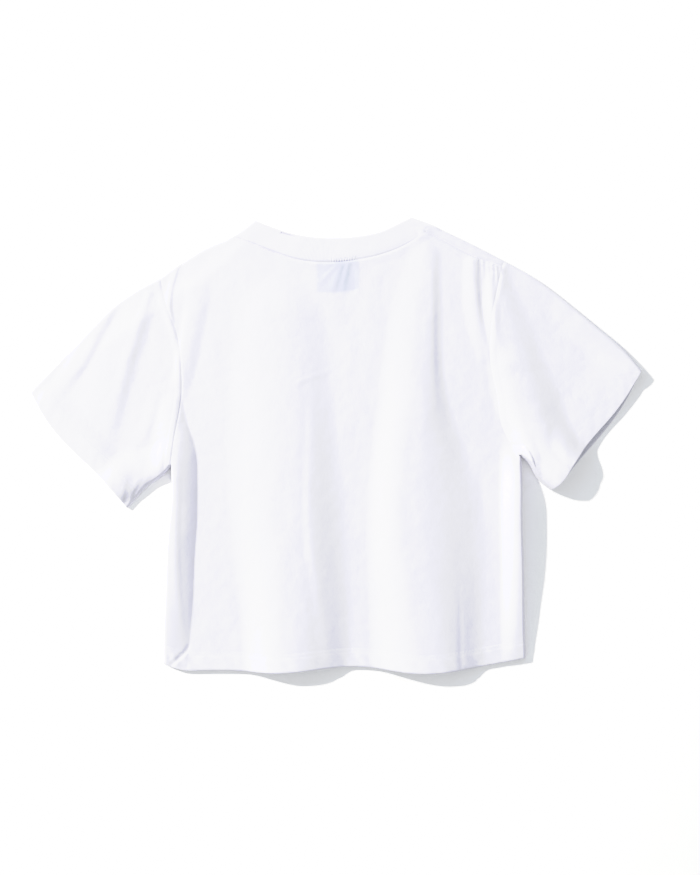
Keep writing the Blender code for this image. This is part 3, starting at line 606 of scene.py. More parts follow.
# Each hem, and how much of a hem's relief it has: the cuffs are pressed flatter.
HEMS = ((HEM, 1.0), (dense(LEFT_CUFF), 0.6), (dense(RIGHT_CUFF), 0.4))
STITCH_ROWS = (16.2, 19.0)  # how far the two rows of stitches run from a turned-up edge


def distance_to(at, lines):
    return np.min([nearest(at, line)[0] for line in lines], axis=0)


# %% What the sewing does
GROOVE_WIDTH = 0.9
ALLOWANCE_WIDTH = 7.0
ALLOWANCE_RISE = 1.6  # how far from the seam the cloth has climbed onto its allowances
ALLOWANCE_FALL = 2.0
NECK_SWELL = 0.35
NECK_SWELL_REACH = (3.5, 10.0)  # how far the neck seam's swell runs over the band and the back
HEM_SWELL = 0.35
HEM_FALL = 3.0  # beyond its turn-up, the hem's swell fades over this much
HEM_MARGIN = 8.0  # beyond its turn-up, a hem's relief is worked out over this much
STITCH_SINK = 0.36
STITCH_SINK_WIDTH = 0.8
# A hem ropes in slanting swells, whose rhythm drifts along it, between its edge and its stitches.
ROPE_HEIGHT = 0.22
ROPE_STEP = 2.6
ROPE_SLANT = 3.0
ROPE_DRIFT = (1.5, 17.0)
ROPE_RISE = 3.0
ROPE_FADE = 5.0


def seam_relief(at):
    """Each seam sinks in a narrow groove, and swells over its allowances."""
    total = np.zeros(len(at))
    for line, allowance_side, allowance, depths in SEAMS:
        inside = near_box(at, line, ALLOWANCE_WIDTH + ALLOWANCE_FALL)
        if not inside.any():
            continue
        distance, side, place = nearest(at[inside], line)
        swell = smooth(distance / ALLOWANCE_RISE)
        swell = swell * smooth((ALLOWANCE_WIDTH - distance) / ALLOWANCE_FALL)
        total[inside] += allowance * swell * np.clip(side * allowance_side, 0, 1)
        depth = np.interp(place, np.linspace(0, 1, len(depths)), depths)
        total[inside] -= depth * bell(distance, GROOVE_WIDTH)
    return total


def neck_swell(at):
    """The swell at the neck seam, whose allowances are folded down under the back."""
    total = np.zeros(len(at))
    inside = near_box(at, NECK_LINE, max(NECK_SWELL_REACH))
    if inside.any():
        distance, side, _ = nearest(at[inside], NECK_LINE)
        total[inside] = NECK_SWELL * smooth(1 - distance / np.where(side > 0, *NECK_SWELL_REACH))
    return total


def hem_relief(at):
    """A turned-up hem stands proud, sinks under its stitches, and ropes a little outside them."""
    total = np.zeros(len(at))
    for line, share in HEMS:
        inside = near_box(at, line, TURN_UP + HEM_MARGIN)
        if not inside.any():
            continue
        distance, _, place = nearest(at[inside], line)
        total[inside] += share * HEM_SWELL * smooth((TURN_UP + HEM_FALL - distance) / HEM_FALL)
        for row in STITCH_ROWS:
            total[inside] -= share * STITCH_SINK * bell(distance - row, STITCH_SINK_WIDTH)
        along = place * run_of(line)[-1]
        drift = ROPE_DRIFT[0] * np.sin(along / ROPE_DRIFT[1])
        rope = share * ROPE_HEIGHT * np.sin(along / ROPE_STEP + distance / ROPE_SLANT + drift)
        rope = rope * smooth(distance / ROPE_RISE)
        total[inside] += rope * smooth((STITCH_ROWS[0] - distance) / ROPE_FADE)
    return total


# %% The two layers
def neck_rise(at):
    """How much higher a folded shoulder edge lies near the neck, over the neckband."""
    corners = np.array([LEFT_SHOULDER[0], RIGHT_SHOULDER_EDGE[0]])
    reach = np.linalg.norm(at[:, None] - corners[None], axis=2).min(axis=1)
    return NECK_RISE * smooth(1 - reach / NECK_RISE_REACH)


def turn(distance, height):
    """The share of its height that a layer reaches at a distance in from its folded edge."""
    width = np.clip(height + TURN_EXTRA, TURN_LEAST, TURN_MOST)
    return quarter_round(distance / width)


def upper(at, edge_z, extra=0.0):
    """The middle of the upper layer's wall. edge_z is its height on the folded edge."""
    large = fold_height(at, LARGE_LINES, FOLD_POWER)
    large = large + fold_height(at, TUCK_LINES, TUCK_POWER, tuck_form)
    small = fold_height(at, SMALL_LINES, CREASE_POWER) + unevenness(at)
    small += seam_relief(at) + neck_swell(at) + hem_relief(at)
    least = WALL + TURN_UP_WALL / 2 + LEAST_CLEARANCE
    top = np.maximum(UPPER_Z + large, least) + small + extra
    return edge_z + (top - edge_z) * turn(distance_to(at, FOLDED_EDGES), top - edge_z)


def lower(at, edge_z, edges, wall_z=LOWER_Z, hems=()):
    """The middle of the lower layer's wall: flat, and curled up to edge_z at the given edges.

    Under each row of a hem's stitches it is drawn up a little.
    """
    share = distance_to(at, edges) / (edge_z - wall_z)
    height = edge_z - (edge_z - wall_z) * quarter_round(share)
    for hem in hems:
        distance = nearest(at, hem)[0]
        for row in STITCH_ROWS:
            height += STITCH_SINK * bell(distance - row, STITCH_SINK_WIDTH)
    return height


print("seams and hems:", len(SEAMS), "and", len(HEMS))

# %% [markdown]
# ## One way to make cloth
#
# Every panel here is made the same way: a grid of points in plan, stretched between four edges,
# gets its heights, and then a wall of real thickness. Solidify would do it too, but it can't round
# a hem's rim or hold ribs on one face only. Rows lie closer where the cloth turns or is sewn, and
# wider over the plain middle.


# %% Rows and columns
def spaced(length, *zones):
    """Shares from 0 to 1 of a length, in zones of (reach, step). The last zone ends at 1."""
    at = [0.0]
    for reach, step in zones:
        reach = length if reach is None else reach
        cells = max(1, round((reach - at[-1]) / step))
        at.extend(np.linspace(at[-1], reach, cells + 1)[1:])
    return np.array(at) / at[-1]


def coons(bottom, top, left, right, u, v):
    """A grid of plan points between four edges, at shares u across and v up."""
    u, v = u[None, :, None], v[:, None, None]
    ruled = (1 - v) * bottom[None] + v * top[None] + (1 - u) * left[:, None] + u * right[:, None]
    low_corners = (1 - u) * bottom[0] + u * bottom[-1]
    high_corners = (1 - u) * top[0] + u * top[-1]
    return ruled - ((1 - v) * low_corners + v * high_corners)


def in_plan(sheet):
    """A grid's points in plan, in one row."""
    return sheet[..., :2].reshape(-1, 2)


def lifted(plan, height):
    """A grid of plan points with its heights."""
    return np.concatenate([plan, height(in_plan(plan)).reshape(*plan.shape[:2], 1)], axis=2)


# %% The wall
SHARP_ANGLE = math.radians(70)


def steps_along(sheet, axis, ring):
    if ring and axis == 1:
        return np.roll(sheet, -1, axis=1) - np.roll(sheet, 1, axis=1)
    return np.gradient(sheet, axis=axis)


def directions(sheet, ring=False):
    """The unit vector out of a grid of points, at each of them."""
    out = np.cross(steps_along(sheet, 1, ring), steps_along(sheet, 0, ring))
    return out / np.linalg.norm(out, axis=2, keepdims=True)


def wall_faces(rows, columns, ring):
    """The four-sided faces of a closed wall whose inner points come after its outer ones."""
    count = rows * columns
    index = np.arange(count).reshape(rows, columns)
    if ring:
        index = np.column_stack([index, index[:, :1]])
    a, b, c, d = index[:-1, :-1], index[:-1, 1:], index[1:, 1:], index[1:, :-1]
    outer = np.stack([a, b, c, d], axis=-1).reshape(-1, 4)
    rims = [(index[0, 1:], index[0, :-1]), (index[-1, :-1], index[-1, 1:])]
    if not ring:
        rims += [(index[:-1, 0], index[1:, 0]), (index[1:, -1], index[:-1, -1])]
    sides = [np.stack([start, end, end + count, start + count], axis=-1) for start, end in rims]
    return np.concatenate([outer, outer[:, ::-1] + count] + sides)


def wall(sheet, outside, inside, ring=False):
    """A closed wall about a grid of points, as its corners and its faces."""
    rows, columns = sheet.shape[:2]
    out = directions(sheet, ring)
    faces = [sheet + out * outside[..., None], sheet - out * inside[..., None]]
    corners = np.concatenate([face.reshape(-1, 3) for face in faces])
    return corners, wall_faces(rows, columns, ring)


def cloth(name, walls, look, **marks):
    """A piece of cloth made of closed walls. Marks are values for its material, one a point."""
    counts = np.cumsum([0] + [len(corners) for corners, _ in walls])
    corners = np.concatenate([corners for corners, _ in walls]) * MM
    faces = np.concatenate([faces + count for (_, faces), count in zip(walls, counts)])
    mesh = bpy.data.meshes.new(name)
    mesh.vertices.add(len(corners))
    mesh.vertices.foreach_set("co", corners.ravel())
    mesh.loops.add(faces.size)
    mesh.loops.foreach_set("vertex_index", faces.ravel().astype(np.int32))
    mesh.polygons.add(len(faces))
    mesh.polygons.foreach_set("loop_start", np.arange(0, faces.size, 4, dtype=np.int32))
    mesh.update(calc_edges=True)
    mesh.validate()
    mesh.shade_smooth()
    mesh.set_sharp_from_angle(angle=SHARP_ANGLE)
    for mark, parts in marks.items():
        values = np.concatenate([np.tile(np.ravel(part), 2) for part in parts])
        layer = mesh.attributes.new(mark, "FLOAT", "POINT")
        layer.data.foreach_set("value", values.astype(np.float32))
    mesh.materials.append(look)
    made = placed(name, mesh)
    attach(made, "root")
    print(f"{name}: {len(faces) * 2} triangles")
    return made


def area_of(outline):
    """The area inside a closed line, in square metres."""
    x, y = outline.T
    return abs(np.dot(x, np.roll(y, -1)) - np.dot(y, np.roll(x, -1))) / 2 * MM * MM


# %% [markdown]
# ## Finishes
#
# Single jersey shows columns of small V stitches on its face. At arm's length nobody sees them, but
# they break up the light, and close up they are what says T-shirt. The knit is a shader group with
# named inputs, so that body, sleeves and neckband can each have it at their own angle and gauge. It
# puts out a height for a Bump node and a painted shade for the colour, darker between the loops.


# %% A helper for shader groups
def group_of(name, inputs, outputs):
    """An empty shader group, with what it is given and what it makes.

    Inputs are {name: default}, a number or None for a vector, and outputs are {name: type}.
    """
    tree = bpy.data.node_groups.new(name, "ShaderNodeTree")
    for label, value in inputs.items():
        kind = "NodeSocketVector" if value is None else "NodeSocketFloat"
        socket = tree.interface.new_socket(label, in_out="INPUT", socket_type=kind)
        if value is not None:
            socket.default_value = value
    for label, kind in outputs.items():
        tree.interface.new_socket(label, in_out="OUTPUT", socket_type="NodeSocket" + kind)
    return tree, tree.nodes.new("NodeGroupInput").outputs, tree.nodes.new("NodeGroupOutput").inputs


def fed(socket, value):
    """Links a socket to another one, or sets its value."""
    if isinstance(value, bpy.types.NodeSocket):
        socket.id_data.links.new(value, socket)
    else:
        socket.default_value = value


def math_node(tree, operation, *values):
    node = tree.nodes.new("ShaderNodeMath")
    node.operation = operation
    for socket, value in zip(node.inputs, values):
        fed(socket, value)
    return node.outputs[0]


def noise_node(tree, vector, scale, detail=2.0, roughness=0.5):
    node = tree.nodes.new("ShaderNodeTexNoise")
    fed(node.inputs["Vector"], vector)
    fed(node.inputs["Scale"], scale)
    node.inputs["Detail"].default_value = detail
    node.inputs["Roughness"].default_value = roughness
    return node.outputs["Fac"]


# %% The knit
COLUMNS_PER_METRE = 1450.0
ROWS_PER_METRE = 1900.0
LEAN = 0.55  # how many rows a loop's leg climbs on its way across
WOBBLE = 0.5  # how many columns the knit drifts to and fro
CROWN_POWER = 0.6
LEG_HEIGHT = (0.45, 0.25)  # how much the legs add to a column's height, and what it has without
# The next pair paints shade into the knit's colour: darker where the knit is low.
KNIT_PAINTED_SHADE = (0.35, 0.8)  # how much the height adds to the tone, and what it is without


def knit_group():
    """Columns of V stitches: the loops' legs lean in pairs, each column is round, and its hollows
    get painted shade.
    """
    tree, given, made = group_of(
        "jersey knit",
        {
            "Vector": None,
            "Columns per metre": COLUMNS_PER_METRE,
            "Rows per metre": ROWS_PER_METRE,
            "Lean": LEAN,
        },
        {"Height": "Float", "Shade and tone": "Float"},
    )
    parts = tree.nodes.new("ShaderNodeSeparateXYZ")
    fed(parts.inputs[0], given["Vector"])
    wobble = noise_node(tree, given["Vector"], scale=160.0)
    wobble = math_node(tree, "MULTIPLY", wobble, WOBBLE)
    column = math_node(tree, "MULTIPLY", parts.outputs["X"], given["Columns per metre"])
    column = math_node(tree, "ADD", column, wobble)
    row = math_node(tree, "MULTIPLY", parts.outputs["Y"], given["Rows per metre"])
    fold = math_node(tree, "PINGPONG", column, 0.5)
    lean = math_node(tree, "MULTIPLY", math_node(tree, "MULTIPLY", fold, 2.0), given["Lean"])
    phase = math_node(tree, "MULTIPLY", math_node(tree, "ADD", row, lean), math.tau)
    leg = math_node(tree, "MULTIPLY_ADD", math_node(tree, "SINE", phase), 0.5, 0.5)
    crown = math_node(tree, "SINE", math_node(tree, "MULTIPLY", fold, math.tau))
    body = math_node(tree, "MULTIPLY_ADD", leg, *LEG_HEIGHT)
    rounded = math_node(tree, "POWER", math_node(tree, "ABSOLUTE", crown), CROWN_POWER)
    height = math_node(tree, "MULTIPLY", rounded, body)
    fed(made["Height"], height)
    # Painted shade: the colour is darker where the knit is low, between the loops and columns.
    fed(made["Shade and tone"], math_node(tree, "MULTIPLY_ADD", height, *KNIT_PAINTED_SHADE))
    return tree


# %% The hand of the cloth
FIBRE_SHARE = 0.1  # the fibres' height, next to the crumpling's
PATCH_TONE = (0.06, 0.97)  # how much the patches add to the tone, and what it is without


def hand_group():
    """What handling leaves: fine crumpling, and fibres that stand off the yarn."""
    tree, given, made = group_of(
        "cloth hand",
        {"Vector": None, "Crumple": 1.0, "Fuzz": 1.0},
        {"Height": "Float", "Shade and tone": "Float"},
    )
    crumple = noise_node(tree, given["Vector"], scale=70.0, detail=4.0, roughness=0.55)
    fuzz = noise_node(tree, given["Vector"], scale=2600.0, roughness=0.7)
    height = math_node(tree, "MULTIPLY", crumple, given["Crumple"])
    fibres = math_node(tree, "MULTIPLY", fuzz, given["Fuzz"])
    fibres = math_node(tree, "MULTIPLY", fibres, FIBRE_SHARE)
    height = math_node(tree, "ADD", height, fibres)
    fed(made["Height"], height)
    patches = noise_node(tree, given["Vector"], scale=14.0, detail=3.0)
    fed(made["Shade and tone"], math_node(tree, "MULTIPLY_ADD", patches, *PATCH_TONE))
    return tree


KNIT = knit_group()
HAND = hand_group()
print("groups:", KNIT.name, "and", HAND.name)

# %% [markdown]
# White cotton is brightened with a blue dye, so its shade leans to lavender while its lit side
# stays white. Where a second layer lies under it, less of the table shows through and it looks a
# little whiter. Over the label it gets a painted shadow, a little darker and bluer. Two marks on
# the mesh carry those places into the material.


# %% Helpers for materials
SHEEN_ROUGHNESS = 0.45


def group_node(tree, group, vector, **values):
    node = tree.nodes.new("ShaderNodeGroup")
    node.node_tree = group
    fed(node.inputs["Vector"], vector)
    for label, value in values.items():
        node.inputs[label.replace("_", " ")].default_value = value
    return node.outputs


def mixed(tree, kind, share, first, second):
    node = tree.nodes.new("ShaderNodeMix")
    node.data_type = "RGBA"
    node.blend_type = kind
    factor, first_socket, second_socket = (node.inputs[k] for k in (0, 6, 7))
    fed(factor, share)
    fed(first_socket, first)
    fed(second_socket, second)
    return node.outputs[2]


def ramped(tree, share, ends):
    """A colour that runs from the first end to the second."""
    node = tree.nodes.new("ShaderNodeValToRGB")
    for element, colour in zip(node.color_ramp.elements, ends):
        element.color = colour
    fed(node.inputs["Fac"], share)
    return node.outputs["Color"]


def mark_node(tree, name):
    """One of the mesh's marks, as a share."""
    node = tree.nodes.new("ShaderNodeAttribute")
    node.attribute_name = name
    return node.outputs["Fac"]


def new_material(name, roughness, sheen, specular=0.25):
    """A material, its node tree, its shader, and the place on the piece that its textures use."""
    look = bpy.data.materials.new(name)
    look.use_nodes = True
    shader = look.node_tree.nodes["Principled BSDF"]
    shader.inputs["Roughness"].default_value = roughness
    shader.inputs["Sheen Weight"].default_value = sheen
    shader.inputs["Sheen Roughness"].default_value = SHEEN_ROUGHNESS
    shader.inputs["Specular IOR Level"].default_value = specular
    place = look.node_tree.nodes.new("ShaderNodeTexCoord").outputs["Object"]
    return look, look.node_tree, shader, place


def bumped(tree, shader, layers):
    """Feeds the shader's normal from heights, each (height, its size in millimetres)."""
    normal = None
    for height, size in layers:
        bump = tree.nodes.new("ShaderNodeBump")
        bump.inputs["Distance"].default_value = size * MM
        fed(bump.inputs["Height"], height)
        if normal is not None:
            fed(bump.inputs["Normal"], normal)
        normal = bump.outputs["Normal"]
    fed(shader.inputs["Normal"], normal)


# %% Jersey and rib
WHITE = (0.72, 0.711, 0.783, 1.0)
# The next colour is a painted shadow: where the label lies under the back, the back is darker and
# bluer.
SHADED_WHITE = (0.576, 0.594, 0.729, 1.0)
DOUBLED_WHITE = (0.73, 0.721, 0.788, 1.0)
CRUMPLE_MM = 0.5
# The next pair mixes the knit's painted shade and the hand's random tone into the colour.
PAINTED_SHADE_AND_TONE = (0.25, 0.765)  # how much knit and hand add to the tone, and what it is without
SLEEVE_TURN = math.radians(52)


def jersey_material(
    name, turned, columns=COLUMNS_PER_METRE, rows=ROWS_PER_METRE, knit_mm=0.12, crumple=1.0
):
    """Jersey whose knit is turned by an angle in plan, for a panel that lies at that angle."""
    look, tree, shader, place = new_material(name, roughness=0.88, sheen=0.18)
    mapping = tree.nodes.new("ShaderNodeMapping")
    mapping.inputs["Rotation"].default_value = (0, 0, -turned)
    fed(mapping.inputs["Vector"], place)
    laid = mapping.outputs["Vector"]
    knit = group_node(tree, KNIT, laid, Columns_per_metre=columns, Rows_per_metre=rows)
    hand = group_node(tree, HAND, place, Crumple=crumple)
    doubled, through = mark_node(tree, "doubled"), mark_node(tree, "show_through")
    colour = mixed(tree, "MIX", doubled, WHITE, DOUBLED_WHITE)
    # Over the label the colour becomes a painted shadow.
    colour = mixed(tree, "MIX", through, colour, SHADED_WHITE)
    # The knit's painted shade and the hand's random tone darken the colour together.
    shade_and_tone = math_node(tree, "MULTIPLY", knit["Shade and tone"], hand["Shade and tone"])
    shade_and_tone = math_node(tree, "MULTIPLY_ADD", shade_and_tone, *PAINTED_SHADE_AND_TONE)
    grey = tree.nodes.new("ShaderNodeCombineColor")
    for socket in grey.inputs:
        fed(socket, shade_and_tone)
    fed(shader.inputs["Base Color"], mixed(tree, "MULTIPLY", 1.0, colour, grey.outputs[0]))
    bumped(tree, shader, [(hand["Height"], CRUMPLE_MM), (knit["Height"], knit_mm)])
    return look


BODY_JERSEY = jersey_material("body jersey", 0.0)
LEFT_JERSEY = jersey_material("left sleeve jersey", SLEEVE_TURN)
RIGHT_JERSEY = jersey_material("right sleeve jersey", -SLEEVE_TURN)
RIB = jersey_material("neck rib", 0.0, columns=1100.0, rows=1500.0, knit_mm=0.1, crumple=0.6)
print(len(bpy.data.materials), "materials so far")

# %% Satin, thread and table top
SATIN_WHITE = (0.65, 0.685, 0.79, 1.0)
SATIN_MM = 0.05
THREAD_WHITES = ((0.67, 0.685, 0.75, 1.0), (0.81, 0.815, 0.846, 1.0))
THREAD_MM = 0.08
TABLE_WHITES = ((0.985, 0.978, 0.965, 1.0), (1.0, 0.993, 0.98, 1.0))
TABLE_GLOW = 0.06  # the light that comes up through the white top of a light table


def satin_material():
    """The label's woven satin: long fine threads that run across it."""
    look, tree, shader, place = new_material("label satin", 0.5, sheen=0.1, specular=0.4)
    shader.inputs["Base Color"].default_value = SATIN_WHITE
    wave = tree.nodes.new("ShaderNodeTexWave")
    wave.bands_direction = "Y"
    fed(wave.inputs["Vector"], place)
    wave.inputs["Scale"].default_value = 900.0
    wave.inputs["Distortion"].default_value = 1.5
    bumped(tree, shader, [(wave.outputs["Fac"], SATIN_MM)])
    return look


def thread_material():
    """Sewing thread: a smooth twisted yarn, a little glossier than the knit."""
    look, tree, shader, place = new_material("white thread", 0.6, sheen=0.1, specular=0.35)
    twist = noise_node(tree, place, scale=3200.0)
    fed(shader.inputs["Base Color"], ramped(tree, twist, THREAD_WHITES))
    bumped(tree, shader, [(twist, THREAD_MM)])
    return look


def table_material():
    """A plain matt white table top."""
    look, tree, shader, place = new_material("table top", 0.95, sheen=0.0, specular=0.1)
    shader.inputs["Emission Color"].default_value = (1.0, 1.0, 1.0, 1.0)
    shader.inputs["Emission Strength"].default_value = TABLE_GLOW
    grain = noise_node(tree, place, scale=30.0)
    fed(shader.inputs["Base Color"], ramped(tree, grain, TABLE_WHITES))
    return look


SATIN = satin_material()
THREAD = thread_material()
print(len(bpy.data.materials), "materials")

# %% The table top
TABLE_HALF = 9.0
TABLE_DROP = 0.0002  # the cloth's lowest points stand this far off it, so that no faces coincide

table_mesh = bpy.data.meshes.new("table_top")
ways = ((-1, -1), (1, -1), (1, 1), (-1, 1))
table_corners = [(x * TABLE_HALF, y * TABLE_HALF, -TABLE_DROP) for x, y in ways]
table_mesh.from_pydata(table_corners, [], [(0, 1, 2, 3)])
table_mesh.materials.append(table_material())
table_top = placed("table_top", table_mesh)

# %% [markdown]
# ## The back panel
#
# The back is the piece that shows most: one panel from the hem up to the neck seam, with a long
# bank where the left side is tucked up, and two slow waves that run up from the hem. It is a single
# grid. Its columns stand close together where the cloth turns down at the sides and over the narrow
# tuck, and its rows where hem and neck are sewn. A grid given row by row shades more cleanly than a
# subdivided one, because every row follows the hem.

# %% How finely each panel is laid out
SIDE_ROWS = ((24, 1.15), (None, 2.2))
ARMHOLE_ROWS = ((188, 2.2), (None, 1.0))
BACK_COLUMNS = ((6, 0.75), (45, 0.9), (325, 2.2), (376, 1.5), (None, 0.75))
EDGE_ROOM = 0.05  # half of the gap that a seam leaves between two panels
BODY_MIDDLE_X = 6.0
BODY_HALF = 168.0  # an edge further than this from the body's middle is a sleeve's
SLEEVE_RISE = 25.0  # how far from the armhole a sleeve's edge has its full height
TURN_UP_FADE = 0.5
THINNEST = 0.1  # the share of a wall that is left on its rim


def edge_height(at):
    """The height of the folded edges: low along the body, and higher along the fuller sleeves."""
    outside = np.abs(at[:, 0] - BODY_MIDDLE_X) > BODY_HALF
    share = smooth(distance_to(at, ARMHOLES) / SLEEVE_RISE) * outside
    return EDGE_Z + (SLEEVE_EDGE_Z - EDGE_Z) * share + neck_rise(at)


def beside(line, distance):
    """A seam line moved to its left by a distance."""
    return line + across(line) * distance


def jersey_wall(sheet, turned_up):
    """Both halves of a jersey wall: doubled inside at turned-up edges, and round on their rims."""
    distance = distance_to(in_plan(sheet), turned_up).reshape(sheet.shape[:2])
    inside = WALL / 2 + (TURN_UP_WALL - WALL) * smooth(TURN_UP + TURN_UP_FADE - distance)
    middle = (WALL / 2 - inside) / 2
    half = (WALL / 2 + inside) / 2
    half = half * np.maximum(quarter_round(distance / half), THINNEST)
    return half + middle, half - middle


side_shares = spaced(length_of(LEFT_SIDE), *SIDE_ROWS)
armhole_shares = spaced(length_of(LEFT_ARMHOLE), *ARMHOLE_ROWS)


def side_line(side, armhole, room):
    """One side of a body panel: up the side to the armpit, then round the armhole."""
    return joined(evenly(side, side_shares), beside(evenly(armhole, armhole_shares), room))


print("a body panel has", len(side_shares) + len(armhole_shares) - 1, "rows")

# %% Where the cloth looks different
# The label shows through the back as a painted shadow, darker and bluer; these sizes place it.
LABEL_WIDTH = 44.0
LABEL_LENGTH = 32.0
LABEL_CENTRE_X = 2.0
LABEL_PRESSED_X = 8.0
LABEL_PRESSED_REACH = 11.0
LABEL_FAINT = 0.45  # how strongly it shows where nothing presses on it
LABEL_MARGIN = 1.0
LABEL_BLUR = 2.5
DOUBLED_BLUR = 1.2


def label_shadow_mark(at):
    """Where the label shows through the back as a painted shadow: strongest where the back presses
    on it.
    """
    down = y_at(NECK_LINE, at[:, 0]) - at[:, 1]
    side = np.abs(at[:, 0] - LABEL_CENTRE_X)
    inside = smooth((LABEL_WIDTH / 2 + LABEL_MARGIN - side) / LABEL_BLUR)
    inside = inside * smooth((LABEL_LENGTH + LABEL_MARGIN - down) / LABEL_BLUR)
    pressed = bell(at[:, 0] - LABEL_PRESSED_X, LABEL_PRESSED_REACH)
    strength = LABEL_FAINT + (1 - LABEL_FAINT) * pressed
    return inside * strength * smooth(down + 0.5)


def doubled_mark(at, edges):
    """Where a turned-up hem lies under the cloth."""
    return smooth((TURN_UP + DOUBLED_BLUR / 2 - distance_to(at, edges)) / DOUBLED_BLUR)


# %% [markdown]
# The tuck ends in a line so crisp that it needs columns of its own. Where a grid's lines cross a
# sharp edge at an angle, the edge turns into a staircase. So one column is drawn over to run just
# inside the tuck's line, the next one runs just outside it, and their neighbours give way a little.

# %% A column along the tuck
TUCK_FOLLOWED = (-240.0, 20.0)  # the stretch in y along which the column follows the tuck
TUCK_FADE = 40.0
TUCK_REACH = 26.0
TUCK_STEP = 0.6  # between the two columns


def follow_tuck(plan):
    """Moves a grid's columns sideways so that one follows the tuck."""
    line = TUCK_LINES[0]
    low, high = TUCK_FOLLOWED
    y = plan[:, :, 1]
    aim = np.interp(np.clip(y, low, high), line[:, 1], line[:, 0]) - TUCK_STEP / 2
    followed = (y[:, 0] > low) & (y[:, 0] < high)
    column = np.abs(plan[followed, :, 0] - aim[followed]).mean(axis=0).argmin()
    start = plan[:, [column], 0]
    fade = smooth(1 - np.abs(y[:, [column]] - np.clip(y[:, [column]], low, high)) / TUCK_FADE)
    near = smooth(1 - np.abs(plan[:, :, 0] - start) / TUCK_REACH)
    moved = plan[:, :, 0] + (aim[:, [column]] - start) * fade * near
    beyond = moved[:, column] + TUCK_STEP
    moved[:, column + 1] = np.where(followed, beyond, moved[:, column + 1])
    return np.stack([moved, y], axis=2)


# %% The back
left_line = side_line(LEFT_SIDE, LEFT_ARMHOLE, -EDGE_ROOM)
right_line = side_line(RIGHT_SIDE, RIGHT_ARMHOLE, EDGE_ROOM)
u = spaced(length_of(BACK_HEM), *BACK_COLUMNS)
hem = evenly(BACK_HEM, u)
seam_top = joined(dense(LEFT_SHOULDER)[::-1], NECK_LINE, dense(RIGHT_SHOULDER_SEAM))
x = seam_top[0, 0] + (seam_top[-1, 0] - seam_top[0, 0]) * u
for corner in (LEFT_SHOULDER[0, 0], RIGHT_SHOULDER_SEAM[0, 0]):
    x[np.abs(x - corner).argmin()] = corner
top_line = np.column_stack([x, y_at(seam_top, x) - EDGE_ROOM])
left_line[-1], right_line[-1] = top_line[0], top_line[-1]
along = run_of(left_line)
plan = follow_tuck(coons(hem, top_line, left_line, right_line, u, along / along[-1]))
sheet = lifted(plan, lambda at: upper(at, edge_height(at)))
back = cloth(
    "back_panel",
    [wall(sheet, *jersey_wall(sheet, [HEM]))],
    BODY_JERSEY,
    show_through=[label_shadow_mark(in_plan(plan))],
    doubled=[doubled_mark(in_plan(plan), [HEM])],
)
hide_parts("back")

# %% [markdown]
# ## The front panel
#
# The front lies under the back, flat on the table, with a deeper neck. Only its outer face is ever
# seen, from below. Beside each neck corner its neckline drops so steeply that a single grid would
# fold over itself there. So its plate is laid in three parts: one under the low neck, and one up to
# each shoulder, whose inner side follows the steep stretch. At the right shoulder the garment isn't
# folded on its seam: the front rolls over the edge and meets the back in a seam that shows from
# above. That strip is a wall of its own in the same piece.

# %% The front
FRONT_STEP = 2.8
SIDE_COLUMNS = ((1.2, 0.2), (6, 1.2), (None, FRONT_STEP))
MIDDLE_COLUMNS = ((None, FRONT_STEP),)
NECK_SPLIT = 60.0  # how far along the neckline from each neck corner a side part reaches
ROLL_ROWS = (0.0, 0.3, 0.7, 1.2, 1.8, 2.6, 3.6, 4.8, 6.2, 7.6, 9.0)
ROLL_COLUMNS = 70
FRONT_HEM_SAMPLES = 160
NECK_SAMPLES = 200

body_edges = [dense(LEFT_SIDE), dense(RIGHT_SIDE), dense(LEFT_SHOULDER), dense(RIGHT_SHOULDER_EDGE)]
front_hem = dense(FRONT_HEM, FRONT_HEM_SAMPLES)
neckline = beside(dense(FRONT_NECK, NECK_SAMPLES), -EDGE_ROOM)
shoulders = (dense(LEFT_SHOULDER)[::-1], dense(RIGHT_SHOULDER_EDGE))
left_line[-1], right_line[-1] = shoulders[0][0], shoulders[1][-1]
neck_run = run_of(neckline)
first, last = np.searchsorted(neck_run, (NECK_SPLIT, neck_run[-1] - NECK_SPLIT))
low_rows = int((left_line[:, 1] < neckline[first, 1]).sum())
row_shares = along / along[-1]


def upright(top):
    """The line from the hem straight up to a point of the neckline."""
    foot = np.array([top[0], y_at(front_hem, top[0])])
    rise = left_line[:low_rows, 1] - left_line[0, 1]
    return foot + (top - foot) * (rise / rise[-1])[:, None]


def front_part(top, left, right, v, columns, mirrored=False):
    """One part of the front, from the hem up, between two side lines."""
    width = right[0, 0] - left[0, 0]
    u = spaced(width, *columns)
    u = 1 - u[::-1] if mirrored else u
    hem_x = left[0, 0] + width * u
    bottom = np.column_stack([hem_x, y_at(front_hem, hem_x)])
    plan = coons(bottom, read_shares(top, u), left, right, u, v)[:, ::-1]
    return lifted(plan, lambda at: lower(at, edge_height(at), body_edges, hems=[front_hem]))


left_split, right_split = upright(neckline[first]), upright(neckline[last])
high_shares = np.linspace(0, 1, len(left_line) - low_rows + 1)
left_inner = joined(left_split, read_shares(neckline[first::-1], high_shares))
right_inner = joined(right_split, read_shares(neckline[last:], high_shares))
low_neck = neckline[first : last + 1]
low_shares = row_shares[:low_rows] / row_shares[low_rows - 1]
plates = [
    front_part(shoulders[0], left_line, left_inner, row_shares, SIDE_COLUMNS),
    front_part(low_neck, left_split, right_split, low_shares, MIDDLE_COLUMNS),
    front_part(shoulders[1], right_inner, right_line, row_shares, SIDE_COLUMNS, mirrored=True),
]

